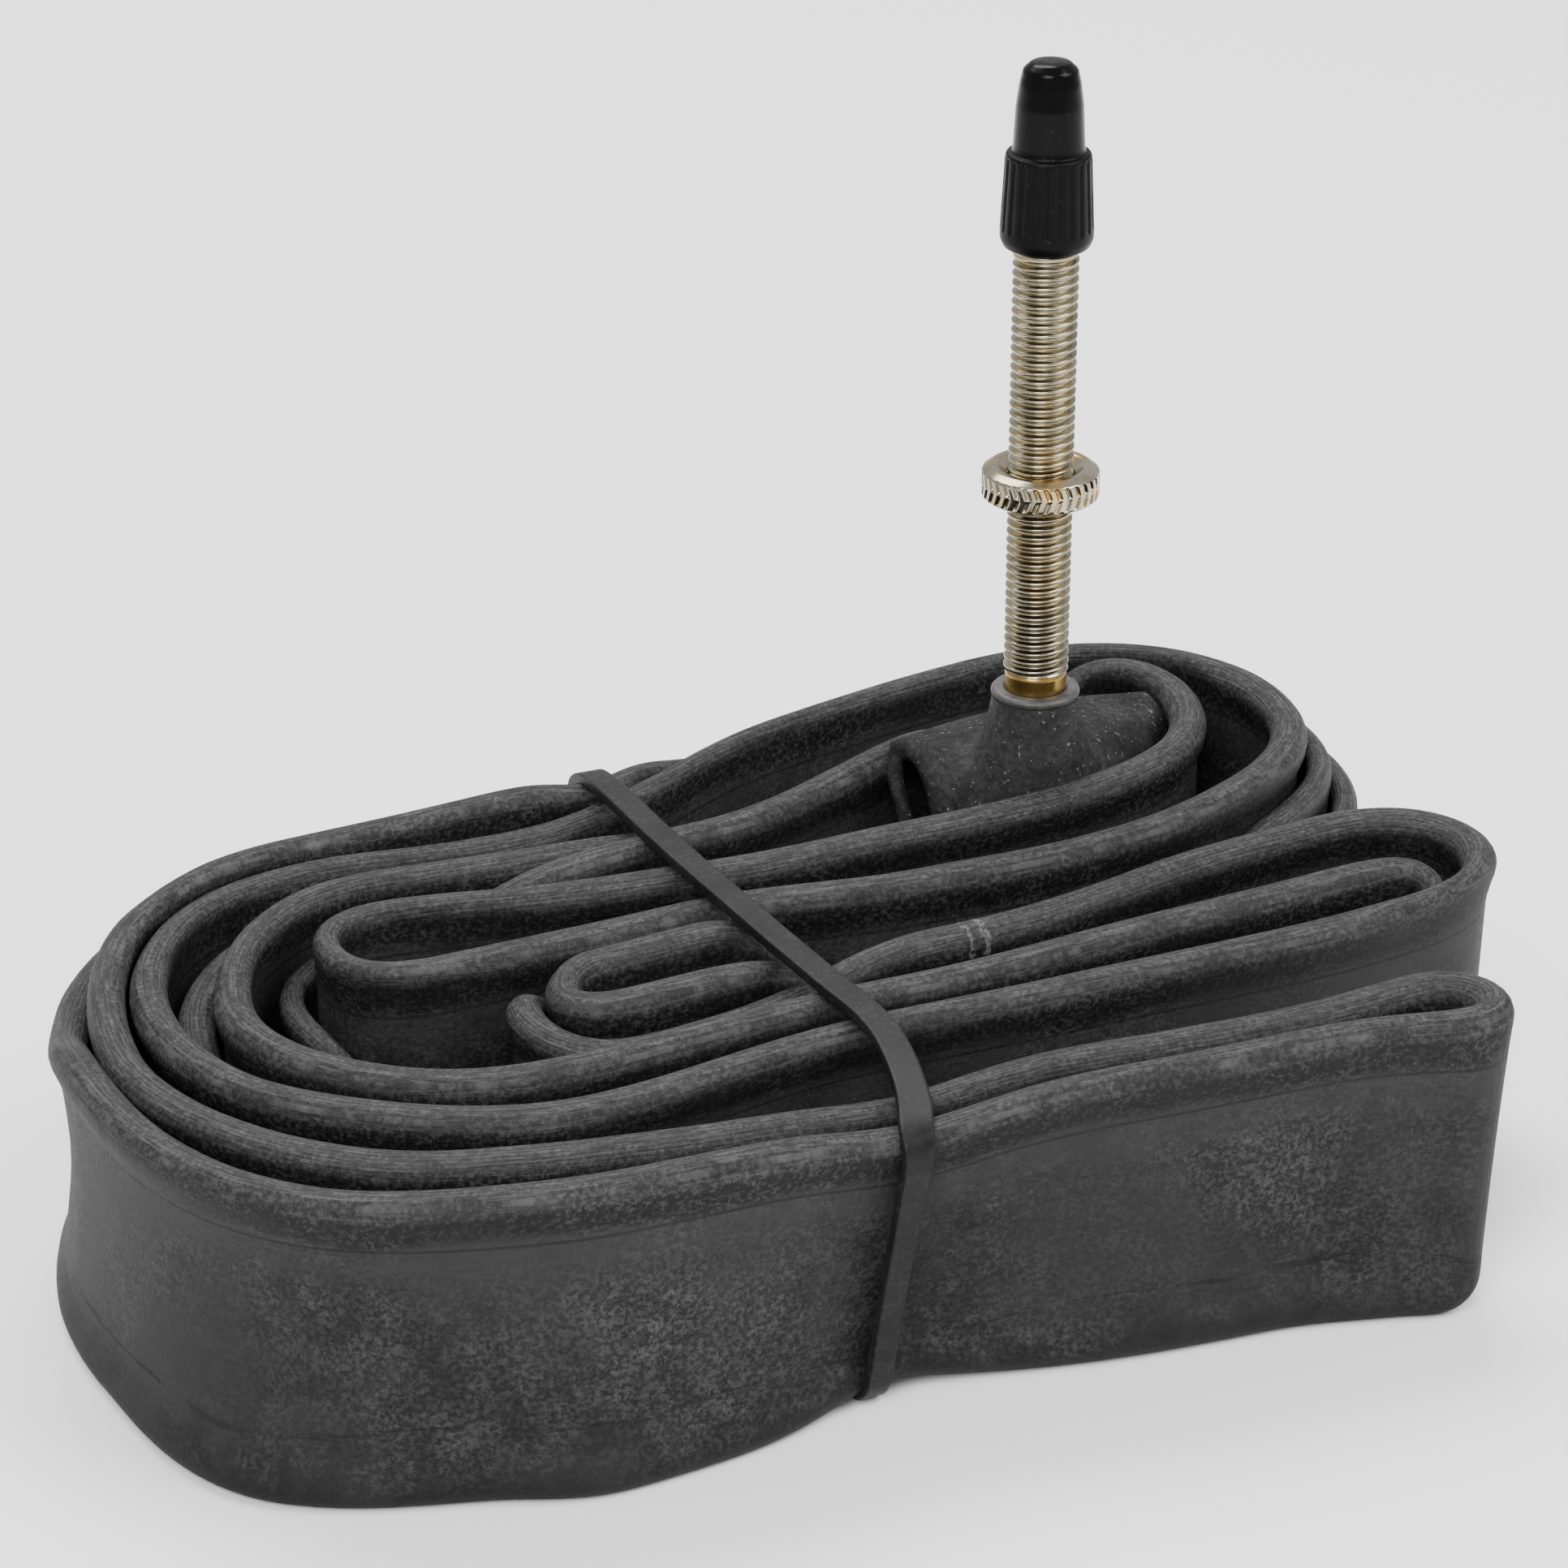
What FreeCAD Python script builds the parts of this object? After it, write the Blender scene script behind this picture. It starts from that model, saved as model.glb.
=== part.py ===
import FreeCAD, Part
import math
import os

V = FreeCAD.Vector

# A road-bicycle inner tube as it is sold: the flat, air-free butyl tube stands on its edge,
# is folded to and fro into a flat coil and is held by one rubber band. Its long valve stands up.
# +Z is up, the coil's straight runs lie along X, and the tube rests on the plane z = 0.

# ---------------------------------------------------------------- driving dimensions (mm)
TUBE_WIDTH = 28.0        # width of the flattened tube, so the height of the standing coil
TUBE_THICK = 2.0         # two 0.9 mm walls pressed together
RUN_LOW = 21.0           # height of the inner folds that sit lower than their neighbours
RUN_MID = 24.0
RUN_EDGE = 26.0

CENTRE_X = -4.76         # middle of the coil's footprint in the route's coordinates: the origin
CENTRE_Y = -13.83

BAND_THICK = 1.0
BAND_WIDTH = 2.7
BAND_GAP = 0.3           # between the band and the coil it holds
BAND_FRONT = (-16.5, -55.4)
BAND_BACK = (-9.4, 23.8)

VALVE_X = 28.0
VALVE_Y = 3.0
SEAT_Z = 36.0            # top lip of the rubber boss, where the plain neck comes out
STEM_R = 3.0             # M6 x 0.8 outside
SHOULDER_Z = 78.5        # where the M6 thread ends and the thinner pump thread starts
TIP_R = 2.6              # 5V2 pump thread
TIP_LEN = 6.5
FOOT_R = 4.6
FOOT_THICK = 1.0
FOOT_Z = 30.6
AIR_R = 1.6              # air passage through the stem
CORE_BORE_R = 2.0        # wider bore that takes the valve core
CORE_SEAT_Z = 63.0

CORE_R = 1.75
CORE_HEAD_R = 2.4
CORE_HEAD_LEN = 2.0
CORE_PIN_BORE_R = 1.1
GASKET_LEN = 1.6
PIN_R = 1.0
NUT_R = 1.95
NUT_LEN = 2.4
NUT_GAP = 1.8            # nut backed off, ready for a pump: more than the pin's travel
PIN_TOP_Z = 92.2
SEAL_R = 1.55
SEAL_LEN = 2.0
CUP_LEN = 1.2

LOCKRING_R = 5.4
LOCKRING_LEN = 3.3
LOCKRING_Z = 54.6        # lower face, about half-way down the stem
LOCKRING_PLAY = 0.05
LOCKRING_TEETH = 36

CAP_LEN = 16.8
CAP_SKIRT_R = 4.15
CAP_SKIRT_LEN = 8.7
CAP_NOSE_R = 3.3
CAP_TIP_R = 2.35
CAP_FLUTES = 22
CAP_FLUTE_R = 0.28
CAP_PLAY = 0.15

os.makedirs("parts", exist_ok=True)


# ---------------------------------------------------------------- helpers
def unit(dx, dy):
    length = math.hypot(dx, dy)
    return dx / length, dy / length


def rounded_route(points):
    """Straight pieces and tangent arcs that follow a list of corners, one list per corner.

    Each piece is (start, end, centre, radius, turn); centre is None on a straight piece.
    """
    legs = []
    here = points[0]
    for before, corner, after in zip(points, points[1:], points[2:]):
        ax, ay = unit(corner[0] - before[0], corner[1] - before[1])
        bx, by = unit(after[0] - corner[0], after[1] - corner[1])
        cross = ax * by - ay * bx
        angle = math.atan2(cross, ax * bx + ay * by)
        if abs(angle) < 1e-6:
            legs.append([])
            continue
        room = 0.49 * min(math.dist(before, corner), math.dist(corner, after))
        radius = room / math.tan(abs(angle) / 2)
        start = (corner[0] - ax * room, corner[1] - ay * room)
        end = (corner[0] + bx * room, corner[1] + by * room)
        turn = 1 if cross > 0 else -1
        centre = (start[0] - ay * radius * turn, start[1] + ax * radius * turn)
        legs.append([(here, start, None, 0.0, 0), (start, end, centre, radius, turn)])
        here = end
    legs.append([(here, points[-1], None, 0.0, 0)])
    return legs


def side_edges(pieces, offset):
    """The route moved sideways by offset (+ is to the left) as a list of edges."""
    edges = []
    for start, end, centre, radius, turn in pieces:
        if centre is None:
            dx, dy = unit(end[0] - start[0], end[1] - start[1])
            a = V(start[0] - dy * offset, start[1] + dx * offset, 0)
            b = V(end[0] - dy * offset, end[1] + dx * offset, 0)
            edges.append(Part.makeLine(a, b))
            continue
        moved = radius - offset * turn
        a0 = math.atan2(start[1] - centre[1], start[0] - centre[0])
        a1 = math.atan2(end[1] - centre[1], end[0] - centre[0])
        sweep = (a1 - a0) * turn % (2 * math.pi) * turn
        on_arc = [V(centre[0] + moved * math.cos(a0 + sweep * k / 2),
                    centre[1] + moved * math.sin(a0 + sweep * k / 2), 0) for k in range(3)]
        edges.append(Part.Arc(*on_arc).toShape())
    return edges


def standing_run(pieces, height):
    """A stretch of flat tube standing on its edge."""
    left = side_edges(pieces, TUBE_THICK / 2)
    right = side_edges(pieces, -TUBE_THICK / 2)
    ends = []
    for index in (0, -1):
        ends.append(Part.makeLine(left[index].Vertexes[index].Point, right[index].Vertexes[index].Point))
    wire = Part.Wire(Part.__sortEdges__(left + right + ends))
    return Part.Face(wire).extrude(V(0, 0, height))


def turned(profile):
    """A solid of revolution about the valve's axis from (radius, z) corners."""
    corners = [V(r, 0, z) for r, z in profile]
    face = Part.Face(Part.makePolygon(corners + corners[:1]))
    solid = face.revolve(V(0, 0, 0), V(0, 0, 1), 360)
    solid.translate(V(VALVE_X, VALVE_Y, 0))
    return solid


def write(shape, node):
    solids = shape.Solids
    if len(solids) == 1:
        shape = solids[0]
    shape.translate(V(-CENTRE_X, -CENTRE_Y, 0))
    shape.exportStep("parts/" + node + ".step")


# ---------------------------------------------------------------- the tube's route in plan
# One endless loop. Each stretch runs on from the one before it and has its own top height.
# The first starts under the right-hand end of the valve's arch, the last ends at its left.
ROUTE = [
    # back from the valve, round the coil's left end, into the front fold that opens left
    (RUN_LOW, [(41, 11), (45.9, 11), (45.9, 19.2), (38, 19.2), (28, 18.6), (18, 15.9),
               (8, 12.6), (-2, 9.6), (-12, 8.5)]),
    (TUBE_WIDTH, [(-26, 9), (-37, 10.4), (-42, 10), (-46.5, 7.8), (-50.8, 4.2), (-54.3, -1),
                  (-57, -8), (-57, -14), (-54.5, -20), (-49, -25.4), (-43, -28.2),
                  (-36, -29.4), (-20, -30.3), (0, -31), (28, -29.8), (41, -29.5),
                  (48, -31), (48, -35.5), (40, -37.7), (30, -39), (22, -39),
                  (14, -37.8), (7, -36.6), (-10, -35.6), (-24, -36)]),
    # the second turn of the left end, then the loop round the valve
    (RUN_MID, [(-38, -34.5), (-44, -32.7), (-49, -30.2), (-54, -26.5), (-58.5, -21),
               (-60.4, -14), (-60.4, -8), (-58.2, -1), (-54.7, 4.8), (-50, 9.3), (-44, 12.2),
               (-37, 13.3), (-24, 12.5), (-12, 11.9)]),
    (RUN_LOW, [(-2, 13.4), (8, 16), (18, 19.2), (28, 22), (38, 23.2)]),
    (TUBE_WIDTH, [(45.6, 22.6), (49.4, 18.6), (50, 13), (47.5, 6), (42.5, 1), (36, -1.4),
                  (27, -2.8), (18, -3.4), (0, -3), (-9, -2), (-25, 0.5), (-33, 3),
                  (-38, 4.2), (-42, 4), (-44.8, 1.6), (-45.4, -2), (-44.4, -6),
                  (-40.5, -8), (-33, -8.4), (-18, -8.2), (-10, -8.4), (-3, -10.2),
                (4, -12.4), (20, -13.8), (34, -12.6), (46, -8), (52.4, -3.2), (56, 2), (57.6, 10),
                  (54.6, 19), (47.6, 25), (38, 26.4), (28, 25.2), (16, 22.3), (5, 19.9),
                  (-5, 16.9)]),
    # round the left end again and on to the fold at the front right
    (RUN_EDGE, [(-14, 15.4), (-24, 16.4), (-38, 16.2), (-46, 15), (-51.5, 12.8), (-56, 9.3),
                (-60, 4), (-62.6, -2), (-64.1, -9), (-63.8, -16), (-61.6, -23.5),
                (-57.2, -29.2), (-51.8, -33.2), (-45, -36.3)]),
    (TUBE_WIDTH, [(-38, -38), (-25, -39.2), (-10, -39.6), (4, -41), (14, -42.6), (27, -43.7),
                  (40, -42.7), (46.5, -40), (52, -36), (55.8, -31.5), (56.6, -27),
                  (54, -22), (48.5, -19.4), (29, -20.9), (20, -22.4), (8, -23.8),
                  (-12, -25.3)]),
    # the two small folds inside, one round the other
    (RUN_EDGE, [(-28, -25.6), (-35, -25), (-37.2, -21.5), (-35.2, -15.6), (-30.5, -13),
                (-24, -13.2)]),
    (RUN_LOW, [(-15, -13.2), (-9.8, -13.2), (-9.8, -15.8), (-15, -15.8)]),
    (TUBE_WIDTH, [(-22, -15.8), (-27.5, -15.4), (-30.2, -17.8), (-28.2, -20.9),
                  (-22, -21.3), (-12, -21.3)]),
    # the outermost pass behind the coil, lower than the rest
    (RUN_LOW, [(0, -20.6), (8, -20.3), (20, -19.3), (34, -18), (45, -15.2), (54, -9.8),
               (60, -2.8), (62.8, 6), (62, 15), (57, 23.6), (49, 29.4), (38.5, 31.6),
               (28, 30.3), (14, 27.2), (3, 24.6), (-5, 22.3), (-12, 20.8)]),
    (RUN_EDGE, [(-24, 21.8), (-38, 22.2), (-48.5, 21), (-58.4, 16.2), (-65.3, 8.6), (-69.4, 0)]),
    # the front of the coil and the closed fold at its right end
    (TUBE_WIDTH, [(-71.6, -8), (-72.2, -17), (-71.2, -26), (-68, -34.6), (-62.6, -42),
                  (-56, -47.4), (-48, -50.6), (-38, -52), (-25, -52.5), (0, -54),
                  (20, -56.2), (36, -59), (42, -58.6), (43, -52.5), (38, -49.4),
                  (25, -51.4), (6, -50), (-8, -49), (-30, -47), (-43.5, -44.6), (-55, -39.2),
                  (-63.5, -31), (-67.7, -22.5), (-68.9, -14), (-67.3, -5), (-64.3, 3.2),
                (-60, 10), (-52, 16), (-44.5, 18.8), (-36, 19.2), (-24, 19)]),
    (RUN_MID, [(-12, 18.1), (-4, 19.8), (4, 22.1), (15, 24.8), (28, 27.8), (38.3, 29),
               (48.2, 27.2), (55.9, 21.2), (59.7, 12.5), (59.8, 4), (57, -2.6), (50.6, -8.4),
               (43, -12.2), (34, -15.2), (20, -16.6), (5, -15.4), (-3, -12.9),
               (-9, -10.8), (-24, -10.7), (-36, -10.9), (-44, -10.5), (-47.7, -7.2),
               (-48.7, -2), (-47.7, 3), (-44.6, 6.4), (-38, 7.1), (-31, 5.2)]),
    (TUBE_WIDTH, [(-24, 4.2), (-12, 4.6), (-3, 5.4), (4, 7.6)]),
]

# Across the valve the tube turns from standing to lying face up, as an arch over the gap.
# Each row: x, then (y, z) of the tube's middle line from its back edge to its front edge.
ARCH = [
    (4.0, [(7.6, 28.0), (7.6, 21.0), (7.6, 14.0), (7.6, 7.0), (7.6, 0.0)]),
    (9.0, [(9.8, 27.5), (9.0, 21.0), (8.2, 14.5), (6.6, 9.0), (4.6, 4.4)]),
    (14.0, [(11.9, 27.0), (9.0, 23.6), (6.2, 19.5), (3.6, 15.0), (2.0, 10.4)]),
    (19.0, [(13.7, 27.0), (9.2, 27.6), (4.6, 26.2), (1.6, 21.4), (0.6, 15.6)]),
    (23.0, [(14.8, 27.4), (9.4, 28.8), (4.0, 28.4), (0.9, 23.6), (0.4, 17.2)]),
    (33.0, [(15.4, 27.4), (9.6, 28.8), (4.6, 28.4), (1.2, 23.6), (0.8, 17.2)]),
    (37.0, [(14.4, 26.6), (10.8, 26.4), (7.2, 23.8), (5.0, 18.6), (4.4, 12.0)]),
    (41.0, [(11.0, 21.0), (11.0, 15.8), (11.0, 10.5), (11.0, 5.3), (11.0, 0.0)]),
]


def arch_section(x, middle):
    """The closed outline of the flat tube where it crosses the plane x."""
    upper = []
    lower = []
    last = len(middle) - 1
    for k, (y, z) in enumerate(middle):
        y0, z0 = middle[max(k - 1, 0)]
        y1, z1 = middle[min(k + 1, last)]
        dy, dz = unit(y1 - y0, z1 - z0)
        upper.append(V(x, y - dz * TUBE_THICK / 2, z + dy * TUBE_THICK / 2))
        lower.append(V(x, y + dz * TUBE_THICK / 2, z - dy * TUBE_THICK / 2))
    corners = upper + lower[::-1]
    return Part.makePolygon(corners + corners[:1])


def build_tube():
    corners = [(float(x), float(y)) for height, points in ROUTE for x, y in points]
    legs = rounded_route(corners)
    runs = []
    first = 0
    last = -1
    for height, points in ROUTE:
        last += len(points)
        pieces = [piece for leg in legs[first:last] for piece in leg]
        runs.append(standing_run(pieces, height))
        first = last
    arch = Part.makeLoft([arch_section(x, middle) for x, middle in ARCH], True, True)
    tube = runs[0].multiFuse(runs[1:] + [arch])
    return tube.removeSplitter()


# ---------------------------------------------------------------- rubber band
def band_frame(gap, thick, across):
    """A closed upright frame round the coil, in the band's slanting plane."""
    x0, y0 = BAND_FRONT
    x1, y1 = BAND_BACK
    span = math.dist(BAND_FRONT, BAND_BACK)
    low = 0.1 - gap
    high = TUBE_WIDTH + BAND_GAP + BAND_THICK + gap
    outer = Part.makeBox(span + 2 * gap, across, high - low, V(-gap, -across / 2, low))
    posts = [e for e in outer.Edges if abs(e.tangentAt(e.FirstParameter).y) > 0.9]
    outer = outer.makeFillet(2.0, posts)
    inner = Part.makeBox(span - 2 * thick, across + 2, high - low - 2 * thick - gap,
                         V(thick, -across / 2 - 1, low + thick + gap))
    angle = math.degrees(math.atan2(y1 - y0, x1 - x0))
    frame = outer.cut(inner)
    frame.rotate(V(0, 0, 0), V(0, 0, 1), angle)
    frame.translate(V(x0, y0, 0))
    return frame


def band_groove():
    """The dent that the band presses into the lower edges of the tube."""
    x0, y0 = BAND_FRONT
    x1, y1 = BAND_BACK
    span = math.dist(BAND_FRONT, BAND_BACK)
    across = BAND_WIDTH + 0.6
    slot = Part.makeBox(span, across, BAND_THICK + 0.4 + 1, V(0, -across / 2, -1))
    slot.rotate(V(0, 0, 0), V(0, 0, 1), math.degrees(math.atan2(y1 - y0, x1 - x0)))
    slot.translate(V(x0, y0, 0))
    return slot


# ---------------------------------------------------------------- valve
def build_stem():
    top = SHOULDER_Z + TIP_LEN
    profile = [(AIR_R, FOOT_Z), (FOOT_R, FOOT_Z), (FOOT_R, FOOT_Z + FOOT_THICK),
               (STEM_R, FOOT_Z + FOOT_THICK), (STEM_R, SHOULDER_Z), (TIP_R, SHOULDER_Z),
               (TIP_R, top), (CORE_BORE_R, top), (CORE_BORE_R, CORE_SEAT_Z - 6), (AIR_R, CORE_SEAT_Z - 6.4)]
    return turned(profile)


def build_patch(tube, stem):
    """Moulded rubber base: a lip, a waisted cone and a thin pad bonded to the tube."""
    base = [(0, 28.2), (7.4, 28.2), (7.4, 29.2), (6.8, 30.1), (5.8, 31.3), (4.9, 32.8),
            (4.0, 34.6), (4.0, 35.1), (4.15, 35.3), (4.15, SEAT_Z - 0.2), (3.9, SEAT_Z), (0, SEAT_Z)]
    solid = turned(base)
    passage = Part.makeCylinder(AIR_R, 20, V(VALVE_X, VALVE_Y, 20))
    solid = solid.cut(tube).cut(stem).cut(passage)
    return max(solid.Solids, key=lambda s: s.Volume)


def build_lockring():
    """Round nut with two bands of slanting teeth and a countersunk thread."""
    low = LOCKRING_Z
    high = LOCKRING_Z + LOCKRING_LEN
    bore = STEM_R + LOCKRING_PLAY
    profile = [(bore, low + 0.7), (bore + 0.9, low), (LOCKRING_R - 0.6, low), (LOCKRING_R, low + 0.5),
               (LOCKRING_R, high - 0.5), (LOCKRING_R - 0.6, high), (bore + 0.9, high), (bore, high - 0.7)]
    ring = turned(profile)
    cuts = []
    for k in range(LOCKRING_TEETH):
        a = 2 * math.pi * k / LOCKRING_TEETH
        post = Part.makeCylinder(0.2, LOCKRING_LEN,
                                 V(VALVE_X + LOCKRING_R * math.cos(a), VALVE_Y + LOCKRING_R * math.sin(a), low))
        cuts.append(post)
    return ring.cut(cuts)


def build_core():
    """The removable core: barrel with a wrench head, gasket, needle, nut, seal and cup."""
    top = SHOULDER_Z + TIP_LEN
    head = top + 0.05
    barrel = turned([(CORE_PIN_BORE_R, CORE_SEAT_Z), (CORE_R, CORE_SEAT_Z), (CORE_R, head),
                     (CORE_HEAD_R, head), (CORE_HEAD_R, head + CORE_HEAD_LEN),
                     (CORE_PIN_BORE_R, head + CORE_HEAD_LEN)])
    for side in (1, -1):
        flat = Part.makeBox(8, 2, CORE_HEAD_LEN, V(VALVE_X - 4, VALVE_Y + side * 2.9 - 1, head))
        barrel = barrel.cut(flat)
    gasket = turned([(CORE_R, top - 5), (CORE_BORE_R, top - 5), (CORE_BORE_R, top - 5 + GASKET_LEN),
                     (CORE_R, top - 5 + GASKET_LEN)])
    nut_low = head + CORE_HEAD_LEN + NUT_GAP
    nut = turned([(PIN_R + 0.04, nut_low), (NUT_R - 0.3, nut_low), (NUT_R, nut_low + 0.3),
                  (NUT_R, nut_low + NUT_LEN - 0.4), (NUT_R - 0.4, nut_low + NUT_LEN),
                  (PIN_R + 0.04, nut_low + NUT_LEN)])
    grooves = []
    for k in range(12):
        a = 2 * math.pi * k / 12
        grooves.append(Part.makeCylinder(0.16, NUT_LEN, V(VALVE_X + NUT_R * math.cos(a),
                                                          VALVE_Y + NUT_R * math.sin(a), nut_low)))
    nut = nut.cut(grooves)
    seal_top = CORE_SEAT_Z - 0.05
    seal_low = seal_top - SEAL_LEN
    cup_low = seal_low - CUP_LEN
    pin = turned([(0, cup_low - 0.6), (PIN_R, cup_low - 0.6), (PIN_R, PIN_TOP_Z - 0.4),
                  (PIN_R - 0.3, PIN_TOP_Z), (0, PIN_TOP_Z)])
    seal = turned([(PIN_R, seal_low), (SEAL_R, seal_low), (SEAL_R, seal_top - 0.4),
                   (SEAL_R - 0.3, seal_top), (PIN_R, seal_top)])
    cup = turned([(PIN_R, cup_low), (SEAL_R - 0.2, cup_low), (SEAL_R, seal_low), (PIN_R, seal_low)])
    return {"core_body": barrel, "core_gasket": gasket, "core_locknut": nut,
            "core_pin": pin, "core_seal": seal, "core_seal_cup": cup}


def build_cap():
    """Plastic cap: fluted skirt, ledge and a tapering domed nose, hollow inside."""
    low = SHOULDER_Z + CAP_PLAY
    top = low + CAP_LEN
    ledge = low + CAP_SKIRT_LEN
    bore = TIP_R + 0.06
    outside = [(bore, low + 0.4), (bore + 0.4, low), (CAP_SKIRT_R - 0.2, low), (CAP_SKIRT_R + 0.05, low + 0.5),
               (CAP_SKIRT_R + 0.05, low + 1.5), (CAP_SKIRT_R - 0.3, ledge - 0.2), (CAP_SKIRT_R - 0.5, ledge),
               (CAP_NOSE_R, ledge), (CAP_NOSE_R - 0.25, ledge + 4.0), (CAP_TIP_R + 0.25, top - 1.6),
               (CAP_TIP_R - 0.1, top - 0.6), (CAP_TIP_R - 0.8, top), (0, top)]
    inside = [(0, top - 1.0), (1.3, top - 1.2), (2.1, top - 3.0), (2.15, low + TIP_LEN + 4.2),
              (bore, low + TIP_LEN + 2.6)]
    cap = turned(outside + inside)
    cuts = []
    for k in range(CAP_FLUTES):
        a = 2 * math.pi * k / CAP_FLUTES
        r = CAP_SKIRT_R + 0.1
        cuts.append(Part.makeCylinder(CAP_FLUTE_R, CAP_SKIRT_LEN - 1.6,
                                      V(VALVE_X + r * math.cos(a), VALVE_Y + r * math.sin(a), low + 1.8)))
    return cap.cut(cuts)


def main():
    tube = build_tube()
    tube = tube.cut(band_groove())
    air_hole = Part.makeCylinder(AIR_R, 10, V(VALVE_X, VALVE_Y, 27.2))
    tube = tube.cut(air_hole)
    stem = build_stem()
    write(tube, "inner_tube")
    write(stem, "valve_stem")
    write(build_patch(tube, stem), "valve_patch")
    write(build_lockring(), "lockring")
    for node, shape in build_core().items():
        write(shape, node)
    write(build_cap(), "dust_cap")
    write(band_frame(0.0, BAND_THICK, BAND_WIDTH), "rubber_band")
    print("tube solids", len(tube.Solids), "valid", tube.isValid(), "volume", round(tube.Volume))


main()
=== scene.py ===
import math

import bpy
import numpy as np
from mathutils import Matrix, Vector


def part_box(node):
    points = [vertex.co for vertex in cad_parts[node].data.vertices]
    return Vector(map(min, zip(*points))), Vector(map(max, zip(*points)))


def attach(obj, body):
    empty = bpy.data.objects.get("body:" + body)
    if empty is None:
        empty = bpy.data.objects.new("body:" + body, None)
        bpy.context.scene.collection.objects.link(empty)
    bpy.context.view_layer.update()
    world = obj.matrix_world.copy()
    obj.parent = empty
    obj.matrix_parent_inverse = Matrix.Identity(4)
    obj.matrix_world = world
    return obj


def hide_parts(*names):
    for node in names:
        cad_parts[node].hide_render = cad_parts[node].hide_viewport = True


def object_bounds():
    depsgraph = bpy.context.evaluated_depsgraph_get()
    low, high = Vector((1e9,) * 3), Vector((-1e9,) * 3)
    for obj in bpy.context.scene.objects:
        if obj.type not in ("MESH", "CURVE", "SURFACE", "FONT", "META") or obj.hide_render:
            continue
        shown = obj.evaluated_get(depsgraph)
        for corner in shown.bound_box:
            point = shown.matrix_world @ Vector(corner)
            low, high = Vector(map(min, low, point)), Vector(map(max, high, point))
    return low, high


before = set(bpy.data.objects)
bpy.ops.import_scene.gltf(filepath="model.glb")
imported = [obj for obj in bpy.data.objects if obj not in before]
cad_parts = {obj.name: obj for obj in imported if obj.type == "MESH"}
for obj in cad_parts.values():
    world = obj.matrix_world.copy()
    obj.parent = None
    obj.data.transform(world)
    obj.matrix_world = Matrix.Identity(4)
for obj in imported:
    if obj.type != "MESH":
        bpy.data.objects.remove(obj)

CAD_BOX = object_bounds()
MM = 0.001

# ---------------------------------------------------------------- places taken from the frame
STEM_LOW, STEM_HIGH = (np.array(corner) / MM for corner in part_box("valve_stem"))
CAP_LOW, CAP_HIGH = (np.array(corner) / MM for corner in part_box("dust_cap"))
RING_LOW, RING_HIGH = (np.array(corner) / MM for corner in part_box("lockring"))
SEAT_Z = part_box("valve_patch")[1][2] / MM
VALVE = (STEM_LOW + STEM_HIGH)[:2] / 2
# The route below is drawn with the valve at (28, 3); SHIFT carries it into the frame.
ROUTE_VALVE = np.array((28.0, 3.0))
SHIFT = VALVE - ROUTE_VALVE

# ---------------------------------------------------------------- the tube (mm)
TOP = 28.2               # full height of the standing tube
LOW = 21.0
MID = 24.5
EDGE = 26.0
BEAD_R = 1.8             # half the thickness of the rounded edge fold
WEB_HALF = 1.0           # half the thickness of the two walls between the folds
BEAD_BLEND = 3.2
GAP = 0.06
STEP = 0.8               # ring spacing along the tube
DEEP = 16.0              # strands pushed down out of sight
BAND_HALF_WIDTH = 1.3
BAND_THICK = 1.0
# The band's middle line in plan, from the front of the coil to its back.
BAND_PLAN = [(-16.4, -54.9), (-15.2, -51.6), (-13.7, -48.2), (-12.4, -44.0), (-11.4, -39.8), (-11.1, -36.0),
             (-11.4, -31.0), (-11.5, -20.0), (-11.3, -4.0), (-11.0, 5.0), (-10.4, 13.0), (-9.4, 23.2)]

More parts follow.
